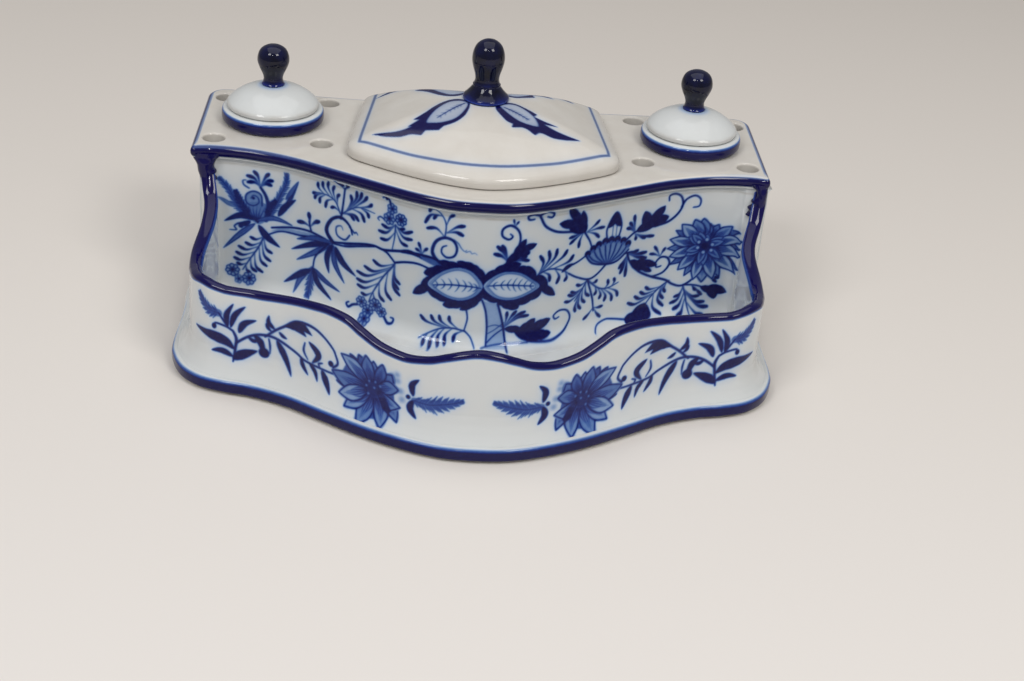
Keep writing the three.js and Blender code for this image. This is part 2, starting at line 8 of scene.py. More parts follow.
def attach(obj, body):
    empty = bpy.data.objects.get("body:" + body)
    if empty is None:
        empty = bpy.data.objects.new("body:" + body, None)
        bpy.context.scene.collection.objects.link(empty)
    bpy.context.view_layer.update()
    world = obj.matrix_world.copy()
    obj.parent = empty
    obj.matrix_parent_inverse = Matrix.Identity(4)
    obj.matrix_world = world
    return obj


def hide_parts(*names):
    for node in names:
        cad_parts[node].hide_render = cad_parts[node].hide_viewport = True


# A glazed porcelain inkstand with cobalt painting under the glaze.
# Shapes and painting are worked out in millimetres and put into meshes in metres.
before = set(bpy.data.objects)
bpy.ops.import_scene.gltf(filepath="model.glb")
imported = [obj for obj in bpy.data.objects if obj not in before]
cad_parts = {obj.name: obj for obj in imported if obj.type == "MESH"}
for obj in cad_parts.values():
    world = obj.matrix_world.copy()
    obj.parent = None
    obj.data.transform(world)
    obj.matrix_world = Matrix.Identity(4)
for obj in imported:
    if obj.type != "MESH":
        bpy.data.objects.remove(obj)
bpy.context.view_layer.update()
print("frame loaded")

mm = 0.001
halfTurn = math.pi

stand = {
    "halfWidth": 120.5,       # of the foot
    "backY": 91.5,
    "cornerY": 21.5,          # the deck's front corners
    "swell": 113.0,           # foot's front centre ahead of those corners
    "footCorner": 9.0,
    "stepHeight": 1.3,
    "footTop": 6.5,
    "deckUnder": 66.5,
    "deckTop": 72.0,
    "seatGap": 0.3,           # between a loose piece and its seat
}
# Outline shares: across from the middle, and forward of the deck's front corners
footFrontShares = [
    (0, 1), (0.105, 0.991), (0.215, 0.953), (0.34, 0.889), (0.47, 0.803), (0.6, 0.713),
    (0.715, 0.66), (0.805, 0.637), (0.885, 0.604), (0.948, 0.54), (0.985, 0.45), (0.996, 0.36),
    (0.992, 0.13), (0.999, 0.02), (1, -0.1),
]
deckFrontShares = [
    (0, 1), (0.115, 0.972), (0.24, 0.83), (0.365, 0.63), (0.51, 0.385), (0.65, 0.155),
    (0.795, 0.005), (0.92, -0.035), (1, 0),
]
hatchFrontShares = [(0, 1), (0.2, 0.93), (0.4, 0.77), (0.6, 0.55), (0.8, 0.29), (1, 0)]


# Curves and outlines

# Cubic through the points; each slope is half the step between a point's neighbours
def smoothCurve(points, count):
    points = np.asarray(points, float)
    place = np.linspace(0, len(points) - 1, count)
    i = np.clip(place.astype(int), 0, len(points) - 2)
    t = (place - i)[:, None]
    before, a = points[np.clip(i - 1, 0, None)], points[i]
    b, after = points[i + 1], points[np.clip(i + 2, None, len(points) - 1)]
    slopeA, slopeB = (b - before) / 2, (after - a) / 2
    square, cube = 3 * (b - a) - 2 * slopeA - slopeB, 2 * (a - b) + slopeA + slopeB
    return a + t * slopeA + t**2 * square + t**3 * cube


# Right half of a front outline, from the middle, given as shares
def frontHalf(shares, halfWidth, swell, cornerY, count=500):
    right = [(a * halfWidth, cornerY - b * swell) for a, b in shares]
    left = [(-x, y) for x, y in right[:0:-1]]
    curve = smoothCurve(left + right, 2 * count - 1)
    return curve[count - 1:]


# Quadratic curve from a to b that leaves and arrives along the lines to the corner
def quadratic(a, corner, b, count):
    t = np.linspace(0, 1, count)[:, None]
    return (1 - t) ** 2 * a + 2 * t * (1 - t) * corner + t**2 * b


# Points on a circle from one angle to another, both included
def arc(centre, radius, start, end, count):
    angle = np.linspace(start, end, count)
    return np.stack([centre[0] + radius * np.cos(angle), centre[1] + radius * np.sin(angle)], 1)


# Angles all the way round, the first one not repeated
def roundTurn(count):
    return np.linspace(0, 2 * halfTurn, count, endpoint=False)


# Points on a whole circle, turned ahead by an angle
def circle(centre, radius, count, ahead=0.0):
    angle = roundTurn(count) + ahead
    return centre + radius * np.stack([np.cos(angle), np.sin(angle)], 1)


# Twice the area in a loop, over 0 if it runs anticlockwise
def loopArea(loop):
    x, y = loop.T
    return np.sum(x * np.roll(y, -1) - y * np.roll(x, -1))


# A place is inside a loop if a ray along x crosses an odd number of its edges
def insideLoop(loop, x, y):
    inside = np.zeros(np.broadcast_shapes(x.shape, y.shape), bool)
    for a, b in zip(loop, np.roll(loop, -1, 0)):
        if a[1] != b[1]:
            crosses = (y > min(a[1], b[1])) & (y <= max(a[1], b[1]))
            inside ^= crosses & (x < a[0] + (y - a[1]) * (b[0] - a[0]) / (b[1] - a[1]))
    return inside


# Path with length measured from the front's middle; s < 0 is the left side.
# Returns plan points moved in by inset along the normal.
def makePath(points, fine=0.25, ease=3):
    points = np.asarray(points, float)
    length = np.concatenate([[0], np.cumsum(np.hypot(*np.diff(points, axis=0).T))])
    total = length[-1]
    s = np.linspace(0, total, int(total / fine) + 1)
    x, y = np.interp(s, length, points[:, 0]), np.interp(s, length, points[:, 1])
    tangent = np.stack([np.gradient(x), np.gradient(y)], 1)
    # Both ends lie on the stand's middle line and run straight across it
    tangent[[0, -1], 1] = 0
    mirrored = np.concatenate([tangent[ease:0:-1] * [1, -1], tangent, tangent[-2:-ease - 2:-1] * [1, -1]])
    window = np.ones(2 * ease + 1) / (2 * ease + 1)
    tangent = np.stack([np.convolve(mirrored[:, k], window, "valid") for k in (0, 1)], 1)
    tangent /= np.hypot(*tangent.T)[:, None]
    normal = np.stack([-tangent[:, 1], tangent[:, 0]], 1)

    def at(place, inset=0.0):
        side, far = np.where(place < 0, -1.0, 1.0), np.abs(place)
        px, py = np.interp(far, s, x), np.interp(far, s, y)
        nx, ny = np.interp(far, s, normal[:, 0]), np.interp(far, s, normal[:, 1])
        return side * (px + nx * inset), py + ny * inset

    def where(axis, value):
        return float(s[np.argmax((x if axis == "x" else y) >= value)])

    return {"at": at, "total": total, "where": where}


footFront = frontHalf(footFrontShares, stand["halfWidth"], stand["swell"], stand["cornerY"])
footBend = arc(
    (stand["halfWidth"] - stand["footCorner"], stand["backY"] - stand["footCorner"]),
    stand["footCorner"], 0, halfTurn / 2, 30,
)
footPath = makePath(np.concatenate([footFront, footBend, [(0, stand["backY"])]]))

deck = {
    "halfWidth": 118.0,
    "swell": 39.0,
    "side": 68.0,            # front corners to the back edge
    "bow": 4.0,
    "corner": 8.0,
    "glazedCorner": 2.5,      # how far the glaze rounds the sharp front corners off
    "penRadius": 4.4,
    "penSpan": (21.8, 22.8),
    "potX": 87.8,
    "potY": 55.4,
    "boreRadius": 17.7,
}
deckFront = frontHalf(deckFrontShares, deck["halfWidth"], deck["swell"], stand["cornerY"])
deckFrontPath = makePath(deckFront)
deckBackY = stand["cornerY"] + deck["side"]
bowHalf = deck["halfWidth"] - deck["corner"]
deckBend = arc((bowHalf, deckBackY - deck["corner"]), deck["corner"], 0, halfTurn / 2, 24)
bowX = np.linspace(bowHalf, 0, 60)[1:]
deckBow = np.stack([bowX, deckBackY - deck["bow"] * (1 - (bowX / bowHalf) ** 2)], 1)
leadIn = deckFront[np.hypot(*(deckFront - deckFront[-1]).T) > deck["glazedCorner"]]
deckNose = quadratic(leadIn[-1], deckFront[-1], deckFront[-1] + [0, deck["glazedCorner"]], 12)[1:]
deckPath = makePath(np.concatenate([leadIn, deckNose, deckBend, deckBow]), ease=13)

hatch = {
    "front": 55.9, "back": 50.6, "advance": 2.5, "side": 60.2, "swell": 25.0, "corner": 7.0,
    "rim": 6.2, "shoulder": 4.2, "rise": 12.8, "power": 1.85, "ledge": 5.5, "wall": 3.0,
    "finialY": 45.5,
    # Inset and height, down the shoulder to the rim
    "shoulderCurve": [
        (5.2, 78.95), (4.2, 78.5), (2.6, 77.75), (1.2, 76.9), (0.35, 75.9), (0, 74.8), (0, 73.6),
    ],
    "ring": (6.1, 9.1), "ringDrop": 3.4, "vaultFoot": 75.3,      # locating ring's insets, and its depth
    "vaultShares": (0.97, 0.9, 0.8, 0.65, 0.5, 0.3, 0.1, 0.03),
    "spacing": 0.68,
}


# Hatch outline: front curve, rounded front corner, straight side, rounded rear corner, back
def hatchOutline():
    frontY = stand["cornerY"] - hatch["advance"]
    rearY = frontY + hatch["side"]
    front = frontHalf(hatchFrontShares, hatch["front"], hatch["swell"], frontY, 300)
    front = front[front[:, 0] < hatch["front"] - hatch["corner"]]
    tip, rear = np.array([hatch["front"], frontY]), np.array([hatch["back"], rearY])
    side = (rear - tip) / np.linalg.norm(rear - tip)
    nose = quadratic(front[-1], tip, tip + side * hatch["corner"], 24)
    heel = quadratic(rear - side * hatch["corner"], rear, rear - [hatch["corner"], 0], 24)
    return np.concatenate([front, nose[1:], heel, [(0, rearY)]])


hatchPath = makePath(hatchOutline(), ease=5)


# Whole ring round a path at an inset: right half, then the left half mirrored
def ringRound(path, inset, spacing):
    s = np.linspace(0, path["total"], int(path["total"] / spacing))
    right = np.stack(path["at"](s, inset), 1)
    right[[0, -1], 0] = 0
    return np.concatenate([right, right[-2:0:-1] * [-1, 1]])


# A ring's or face's plan points at one height
def atHeight(ring, z):
    return np.column_stack([ring, np.full(len(ring), z)])


# Grid along a path: at each place s one row, from its insets and heights
def sweptGrid(path, s, insets, heights):
    x, y = path["at"](np.repeat(s[:, None], insets.shape[1], 1), insets)
    return np.stack([x, y, heights], -1)


# Meshes

# Puts points (mm) and faces into a mesh, turns all faces outwards by the sign of the volume,
# and stores one number per vertex for each named value. Triangles are flat where they close a cut end.
def makeMesh(name, points, quads, triangles, values, material, flatEnds=False):
    points = np.asarray(points, float)
    quads, triangles = np.asarray(quads, int).reshape(-1, 4), np.asarray(triangles, int).reshape(-1, 3)
    halves = np.concatenate([quads[:, :3], quads[:, [0, 2, 3]], triangles])
    a, b, c = (points[halves[:, k]] for k in range(3))
    if np.einsum("ij,ij->i", a, np.cross(b, c)).sum() < 0:
        quads, triangles = quads[:, ::-1], triangles[:, ::-1]
    mesh = bpy.data.meshes.new(name)
    mesh.vertices.add(len(points))
    mesh.vertices.foreach_set("co", (points * mm).astype(np.float32).ravel())
    corners = np.concatenate([quads.ravel(), triangles.ravel()]).astype(np.int32)
    totals = np.concatenate([np.full(len(quads), 4), np.full(len(triangles), 3)]).astype(np.int32)
    mesh.loops.add(len(corners))
    mesh.loops.foreach_set("vertex_index", corners)
    mesh.polygons.add(len(totals))
    mesh.polygons.foreach_set("loop_start", (np.cumsum(totals) - totals).astype(np.int32))
    mesh.polygons.foreach_set("use_smooth", (totals == 4) | (not flatEnds))
    for key, numbers in values.items():
        layer = mesh.attributes.new(key, "FLOAT", "POINT")
        layer.data.foreach_set("value", np.asarray(numbers, np.float32).ravel())
    mesh.update(calc_edges=True)
    mesh.validate()
    mesh.materials.append(material)
    piece = bpy.data.objects.new(name, mesh)
    bpy.context.scene.collection.objects.link(piece)
    return piece


# Faces between neighbouring rows and columns of a grid whose columns close
def gridFaces(rows, columns, closeRows=False):
    r, c = (k.ravel() for k in np.indices((rows if closeRows else rows - 1, columns)))
    r2, c2 = (r + 1) % rows, (c + 1) % columns
    return np.stack([r * columns + c, r2 * columns + c, r2 * columns + c2, r * columns + c2], 1)


# Repeats a grid's end rows a little way in, which keeps the shading true up to a cut end
def heldEnds(grid, share=0.06):
    first = grid[:1] * (1 - share) + grid[1:2] * share
    last = grid[-1:] * (1 - share) + grid[-2:-1] * share
    return np.concatenate([grid[:1], first, grid[1:-1], last, grid[-1:]])


# A closed surface from a grid of points. Columns run round a section and always close; rows either
# close too, or end in flat faces that follow the section. An end's triangles list their corners in
# the ring's order, and in the opposite order at the last row, to wind as the walls do.
def gridPiece(name, grid, material, values=None, closeRows=False):
    triangles = np.zeros((0, 3), int)
    if not closeRows:
        grid = heldEnds(grid)
        values = {key: heldEnds(v) for key, v in (values or {}).items()}
        first, last = (np.sort(tessellate_polygon([[Vector(p) for p in grid[row]]]), 1) for row in (0, -1))
        triangles = np.concatenate([first, last[:, ::-1] + (len(grid) - 1) * grid.shape[1]])
    rows, columns = grid.shape[:2]
    quads = gridFaces(rows, columns, closeRows)
    return makeMesh(name, grid.reshape(-1, 3), quads, triangles, values or {}, material, True)


# A round solid from a profile of (radius, height), whose first and last points lie on the axis
def turnedPiece(name, profile, centre, material, sides=96, values=None):
    profile = np.asarray(profile, float)
    ring = profile[1:-1]
    angle = roundTurn(sides)
    grid = np.stack([
        centre[0] + ring[:, :1] * np.cos(angle),
        centre[1] + ring[:, :1] * np.sin(angle),
        ring[:, 1:] + 0 * angle,
    ], -1)
    points = np.concatenate([grid.reshape(-1, 3), [(*centre, profile[0, 1]), (*centre, profile[-1, 1])]])
    j = np.arange(sides)
    j2 = (j + 1) % sides
    end = (len(ring) - 1) * sides
    first = len(ring) * sides
    triangles = np.concatenate([
        np.stack([j, j2, np.full(sides, first)], 1),
        np.stack([end + j2, end + j, np.full(sides, first + 1)], 1),
    ])
    spread = {}
    for key, v in (values or {}).items():
        v = np.asarray(v, float)
        spread[key] = np.concatenate([np.repeat(v[1:-1], sides), [v[0], v[-1]]])
    return makeMesh(name, points, gridFaces(len(ring), sides), triangles, spread, material)


# Rounds the corners of a profile: each is cut back by its radius and bridged by a quadratic curve
def roundedProfile(corners, steps=8):
    out = [np.array(corners[0][:2], float)]
    for k in range(1, len(corners) - 1):
        before, here, after = (np.array(corners[j][:2], float) for j in (k - 1, k, k + 1))
        radius = corners[k][2] if len(corners[k]) > 2 else 0
        if not radius:
            out.append(here)
            continue
        reachA = min(radius, np.linalg.norm(here - before) * 0.49)
        reachB = min(radius, np.linalg.norm(after - here) * 0.49)
        a = here + (before - here) / np.linalg.norm(before - here) * reachA
        b = here + (after - here) / np.linalg.norm(after - here) * reachB
        out.extend(quadratic(a, here, b, steps))
    out.append(np.array(corners[-1][:2], float))
    return np.array(out)


# Adds points along straight stretches, so that no step is longer than reach
def subdivided(profile, reach):
    out = [profile[0]]
    for a, b in zip(profile[:-1], profile[1:]):
        count = max(1, int(np.ceil(np.linalg.norm(b - a) / reach)))
        out.extend(a + (b - a) * k / count for k in range(1, count + 1))
    return np.array(out)


# Painting
# Each painted surface has a flat canvas in its own unrolled millimetres. Brush strokes laid on it
# give a tone from 0, bare glaze, to 1, full cobalt. The tone is then read at the mesh's vertices.

paint = {
    "step": 0.15,            # canvas spacing
    "brushEdge": 0.19,       # how far a stroke's edge melts
    "bleedReach": 0.55,      # cobalt creeps this far into the glaze
    "haloReach": 1.9,
    "bleed": 0.3,
    "halo": 0.26,
}


# Bare canvas from u0 to u1 and v0 to v1
def newCanvas(u0, u1, v0, v1):
    step = paint["step"]
    u, v = np.arange(u0, u1, step), np.arange(v0, v1, step)
    return {"u": u, "v": v, "ink": np.zeros((len(v), len(u)))}


# Rows and columns of the canvas between two places
def window(canvas, low, high):
    i0, i1 = np.searchsorted(canvas["u"], [low[0], high[0]])
    j0, j1 = np.searchsorted(canvas["v"], [low[1], high[1]])
    return slice(j0, j1), slice(i0, i1)


# Lays a tone where cover is over 0: dark wins, or with lift the new tone replaces the old one
def lay(canvas, rows, columns, cover, tone, lift):
    old = canvas["ink"][rows, columns]
    new = old * (1 - cover) + tone * cover
    canvas["ink"][rows, columns] = new if lift else np.maximum(old, cover * tone)


# Brush stroke: distance to each short segment less the brush's radius there
def brush(canvas, points, widths, tones=1.0, lift=False, soft=0.13):
    count = max(8, 6 * len(points))
    line = smoothCurve(points, count)
    share = np.linspace(0, 1, count)
    radii = np.interp(share, np.linspace(0, 1, np.size(widths)), np.atleast_1d(widths)) / 2
    tone = np.interp(share, np.linspace(0, 1, np.size(tones)), np.atleast_1d(tones))
    for k in range(count - 1):
        a, b = line[k], line[k + 1]
        reach = max(radii[k], radii[k + 1]) + 2 * soft
        rows, columns = window(canvas, np.minimum(a, b) - reach, np.maximum(a, b) + reach)
        u, v = canvas["u"][columns][None], canvas["v"][rows][:, None]
        along = b - a
        t = np.clip(((u - a[0]) * along[0] + (v - a[1]) * along[1]) / max(along @ along, 1e-9), 0, 1)
        away = np.hypot(u - a[0] - t * along[0], v - a[1] - t * along[1])
        radius = radii[k] + (radii[k + 1] - radii[k]) * t
        cover = np.clip(0.5 + (radius - away) / (2 * soft), 0, 1)
        lay(canvas, rows, columns, cover, tone[k] + (tone[k + 1] - tone[k]) * t, lift)


# Lobes: each side of an outline swells outwards, by bulge times its length times 4 t (1 - t)
def lobed(points, bulge):
    edge = np.roll(points, -1, 0) - points
    outward = np.sign(loopArea(points)) * np.stack([edge[:, 1], -edge[:, 0]], 1)
    t = np.linspace(0, 1, 8)[:-1, None]
    return (points[:, None] + edge[:, None] * t + outward[:, None] * bulge * 4 * t * (1 - t)).reshape(-1, 2)


# Filled shape; if asked, its corners are smoothed or its sides swell into lobes
def fill(canvas, points, tone, smooth=False, lift=False, bulge=0.0):
    points = np.asarray(points, float)
    if bulge:
        points = lobed(points, bulge)
    if smooth:
        points = smoothCurve(np.concatenate([points[-1:], points, points[:2]]), 12 * len(points))
        keep = len(points) // (len(points) // 12 + 2)
        points = points[keep:-keep]
    rows, columns = window(canvas, points.min(0) - 1, points.max(0) + 1)
    u, v = canvas["u"][columns][None], canvas["v"][rows][:, None]
    lay(canvas, rows, columns, insideLoop(points, u, v).astype(float), tone, lift)


# Dot: a stroke almost without length
def dot(canvas, centre, width, tone=1.0, lift=False, soft=0.13):
    brush(canvas, [centre, (centre[0] + 0.01, centre[1])], width, tone, lift, soft)


# Dark filled leaf whose outline swells between its points
def raggedLeaf(canvas, points):
    fill(canvas, points, 0.95, bulge=0.12)


# Painter's leaf: pointed at both ends, fullest before the middle
def leaf(canvas, points, width, tone=1.0):
    brush(canvas, points, np.array([0.12, 0.72, 1, 0.86, 0.5, 0.08]) * width, tone)


# Leaf with a pale body, dark edge and one vein
def veinedLeaf(canvas, points, width, tone=0.45, edge=0.85):
    brush(canvas, points, np.array([0.2, 0.75, 1, 0.85, 0.5, 0.12]) * width, edge)
    brush(canvas, points, np.array([0, 0.45, 0.66, 0.52, 0.2, 0]) * width, tone, lift=True)
    brush(canvas, points[:2] if len(points) < 3 else points[:-1], 0.28, edge - 0.1)


# One comma stroke of a fern: thin and pale at the stalk, round and dark at the tip
def comma(canvas, root, tip, lean, width, tone=0.95):
    root, tip = np.asarray(root, float), np.asarray(tip, float)
    middle = (root + tip) / 2 + np.asarray(lean) * np.linalg.norm(tip - root) * 0.24
    widths = np.array([0.32, 0.4, 0.74, 1.12, 0.8]) * width
    brush(canvas, [root, middle, tip], widths, np.array([0.52, 0.58, 0.78, 0.96, 0.92]) * tone)


# Fern: a stalk, and to each tip a comma that leaves the stalk a little before its nearest place
def fern(canvas, stalk, tips, width=1.2, tone=0.95, stalkWidth=0.75):
    line = smoothCurve(stalk, 60)
    brush(canvas, stalk, np.array([1, 0.9, 0.6]) * stalkWidth, 0.78 * tone)
    for tip in np.asarray(tips, float):
        away = np.hypot(*(line - tip).T)
        near = int(away.argmin())
        step = np.linalg.norm(line[1] - line[0])
        root = max(0, near - int(0.42 * away[near] / step))
        ahead = line[min(root + 3, 59)] - line[max(root - 3, 0)]
        comma(canvas, line[root], tip, ahead / np.linalg.norm(ahead), width, tone)


# Berries: small pale-hearted rings round a dark heart
def berries(canvas, centre, radius, count=7, tone=0.82):
    dot(canvas, centre, 2 * radius, 0.6 * tone)
    for a in roundTurn(count) + centre[0]:
        p = (centre[0] + radius * 0.72 * math.cos(a), centre[1] + radius * 0.72 * math.sin(a))
        dot(canvas, p, radius * 0.8, tone)
        dot(canvas, p, radius * 0.42, 0.24, lift=True)
    dot(canvas, centre, radius * 0.56, 0.95)


# Pale beads with dark edges: width and tone of the edge, then of the bead
def beads(canvas, heart, places, edge, core):
    for place in places:
        dot(canvas, heart + place, *edge)
        dot(canvas, heart + place, *core, lift=True)


# Feather: a thin pale body under fine barbs that lean off both sides of its middle line
def feather(canvas, points, widths, tone=0.62, strokes=12):
    brush(canvas, points, np.array(widths) * 0.72, tone * 0.72)
    brush(canvas, points, 0.6, tone + 0.14)
    line = smoothCurve(points, strokes * 4)
    width = np.interp(np.linspace(0, 1, len(line)), np.linspace(0, 1, len(widths)), widths)
    for k in range(1, len(line) - 2, 2):
        ahead = line[k + 1] - line[k]
        ahead /= np.linalg.norm(ahead)
        across = np.array([-ahead[1], ahead[0]])
        for side in (-1, 1):
            length = width[k] * (0.56 + 0.1 * math.sin(k * 2.1 + side))
            tip = line[k] + across * side * length + ahead * width[k] * 0.5
            middle = (line[k] + tip) / 2 + across * side * 0.14
            brush(canvas, [line[k], middle, tip], [0.42, 0.5, 0.3], [tone, tone + 0.16, tone + 0.1])


# Plain strokes and leaves on one canvas, with the tone that most of them have there
def brushSet(canvas, strokeTone=0.9, leafTone=0.86):
    def stroke(points, widths, tones=strokeTone):
        brush(canvas, points, widths, tones)

    def blade(points, width, tone=leafTone):
        leaf(canvas, points, width, tone)

    return stroke, blade


# Petal: dark at its root, pale towards the pointed tip, between two dark edge lines.
# Its middle line bends by a share of its length.
def petal(canvas, root, tip, width, pale=0.3, deep=0.8, edge=0.86, bend=0.0):
    root, tip = np.asarray(root, float), np.asarray(tip, float)
    ahead = tip - root
    aside = np.array([-ahead[1], ahead[0]])
    line = [root, root + ahead * 0.3 + aside * bend * 0.8, root + ahead * 0.65 + aside * bend, tip]
    across = aside / np.linalg.norm(aside) * width / 2
    body = np.array([0.4, 0.8, 1, 1, 0.72, 0.1]) * width
    tones = [deep, deep * 0.7 + pale * 0.3, pale * 1.3, pale, pale, pale]
    brush(canvas, line, body, tones, lift=True, soft=0.2)
    for side in (-1, 1):
        rim = [place + across * side * share for place, share in zip(line, (0.35, 0.9, 0.95, 0))]
        brush(canvas, rim, [0.55, 0.6, 0.64, 0.5], [0.95, edge, edge, edge])
    for side, reach in ((-0.62, 0.56), (-0.3, 0.74), (0, 0.84), (0.3, 0.74), (0.62, 0.56)):
        start = line[0] + across * side * 0.5
        middle = start + ahead * reach * 0.5 + aside * bend * 0.8 + across * side * 0.45
        end = root + ahead * reach + aside * bend * 0.7 + across * side * 0.5
        brush(canvas, [start, middle, end], [0.55, 0.5, 0.18], [0.95, 0.85, deep * 0.8])


# Gaussian blur through the Fourier transform: each wave is damped by exp(-2 (pi sigma f)^2)
def blur(field, reach):
    sigma = reach / paint["step"]
    across = np.fft.rfftfreq(field.shape[1])[None]
    down = np.fft.fftfreq(field.shape[0])[:, None]
    damp = np.exp(-2 * (halfTurn * sigma) ** 2 * (across**2 + down**2))
    return np.fft.irfft2(np.fft.rfft2(field) * damp, field.shape)


# The strokes, softened a little, with the bleed and halo that fired cobalt has round it
def fired(canvas):
    ink = canvas["ink"]
    sharp = blur(ink, paint["brushEdge"])
    near, far = blur(ink, paint["bleedReach"]), blur(ink, paint["haloReach"])
    tone = 1 - (1 - sharp) * (1 - paint["bleed"] * near) * (1 - paint["halo"] * far)
    return dict(canvas, ink=np.clip(tone, 0, 1))


# Tone at any places, weighed from the four canvas places round each
def toneAt(canvas, u, v):
    step = paint["step"]
    x = np.clip((u - canvas["u"][0]) / step, 0, len(canvas["u"]) - 1.001)
    y = np.clip((v - canvas["v"][0]) / step, 0, len(canvas["v"]) - 1.001)
    i, j = x.astype(int), y.astype(int)
    s, t = x - i, y - j
    ink = canvas["ink"]
    low = ink[j, i] * (1 - s) + ink[j, i + 1] * s
    high = ink[j + 1, i] * (1 - s) + ink[j + 1, i + 1] * s
    return low * (1 - t) + high * t


# Finishes

# sRGB hex to linear colour: ((c + 0.055) / 1.055) ^ 2.4 above the toe
def toLinear(code):
    parts = [int(code[k:k + 2], 16) / 255 for k in (1, 3, 5)]
    return tuple(c / 12.92 if c <= 0.04045 else ((c + 0.055) / 1.055) ** 2.4 for c in parts) + (1.0,)


# A node with its settings, and each input linked to a socket or set to a value
def addNode(tree, kind, inputs=None, **settings):
    node = tree.nodes.new(kind)
    for key, value in settings.items():
        setattr(node, key, value)
    for key, value in (inputs or {}).items():
        if isinstance(value, bpy.types.NodeSocket):
            tree.links.new(value, node.inputs[key])
        else:
            node.inputs[key].default_value = value
    return node


# A material with an empty node tree, and the place on the object that its patterns follow
def newMaterial(name):
    material = bpy.data.materials.new(name)
    material.use_nodes = True
    tree = material.node_tree
    tree.nodes.clear()
    return material, tree, addNode(tree, "ShaderNodeTexCoord").outputs["Object"]


# The number that a mesh stores for each vertex under a name
def vertexValue(tree, name):
    return addNode(tree, "ShaderNodeAttribute", attribute_name=name).outputs["Fac"]


# Soft noise whose grains are about size millimetres wide
def cloud(tree, place, size, detail):
    inputs = {"Vector": place, "Scale": 1 / (size * mm), "Detail": detail}
    return addNode(tree, "ShaderNodeTexNoise", inputs).outputs["Fac"]


# One step of arithmetic on sockets or numbers
def reckon(tree, kind, *values, clamp=False):
    inputs = dict(enumerate(values))
    return addNode(tree, "ShaderNodeMath", inputs, operation=kind, use_clamp=clamp).outputs[0]


# Colours blended between stops, each a place and an sRGB hex
def colourRamp(tree, amount, stops):
    node = addNode(tree, "ShaderNodeValToRGB", {"Fac": amount})
    ramp = node.color_ramp
    while len(ramp.elements) < len(stops):
        ramp.elements.new(0.5)
    for element, (place, colour) in zip(ramp.elements, stops):
        element.position = place
        element.color = toLinear(colour)
    return node.outputs["Color"]


# Two colours blended by an amount, or the first multiplied by the second
def mixed(tree, amount, a, b, kind="MIX"):
    inputs = {"Factor": amount, "A": a, "B": b}
    return addNode(tree, "ShaderNodeMix", inputs, data_type="RGBA", blend_type=kind).outputs["Result"]


# The surface itself, with a bump given as its height, strength and depth in millimetres
def finishSurface(tree, bump, inputs):
    height, strength, depth = bump
    normal = addNode(tree, "ShaderNodeBump", {"Height": height, "Strength": strength, "Distance": depth * mm})
    shader = addNode(tree, "ShaderNodeBsdfPrincipled", dict(inputs, Normal=normal.outputs["Normal"]))
    addNode(tree, "ShaderNodeOutputMaterial", {"Surface": shader.outputs["BSDF"]})


glaze = {
    "ior": 1.4,
    "roughness": 0.07,
    "poolSize": 14.0 / 9,           # mm, grain of the thick and thin places of a wash
    "poolGain": (0.16, 0.93),       # how much of it shows, and the least a wash keeps
    # Beige of grime and painted shade, with the grain and gain of its patches and the roughness it adds
    "darkening": "#a8906e",
    "darkeningSize": 9.0,
    "darkeningGain": (1.6, -0.32),
    "darkeningRoughness": 0.22,
    "speckGap": 17.0,               # mm between kiln specks
    "speckEdge": (0.013, 0.022),    # shares of that gap at which a speck begins and ends to fade
    "speckLeft": 0.74,              # share of the cells that stay clean
    "speckTone": 0.62,
    "speck": "#4a3b2c",
    "waveSize": 22.0,               # mm, grain of the glaze's swellings, and how high they rise
    "wave": (0.12, 1.2),
}
# Cobalt under glaze, from bare porcelain through thin washes to the pooled near-black.
# Painted light: the walls' ramp stays clear blue for the cool front light, the tops' ramp is greyer for the
# warm light from above.
coolLitCobalt = [
    (0.12, "#b9c6d8"), (0.3, "#869fc6"), (0.5, "#4f70aa"), (0.68, "#2a4690"),
    (0.85, "#152268"), (1.0, "#0a0546"),
]
warmLitCobalt = [
    (0.12, "#bcc3ce"), (0.3, "#8d9bb8"), (0.5, "#5c6f98"), (0.68, "#364880"),
    (0.85, "#182058"), (1.0, "#0a0546"),
]


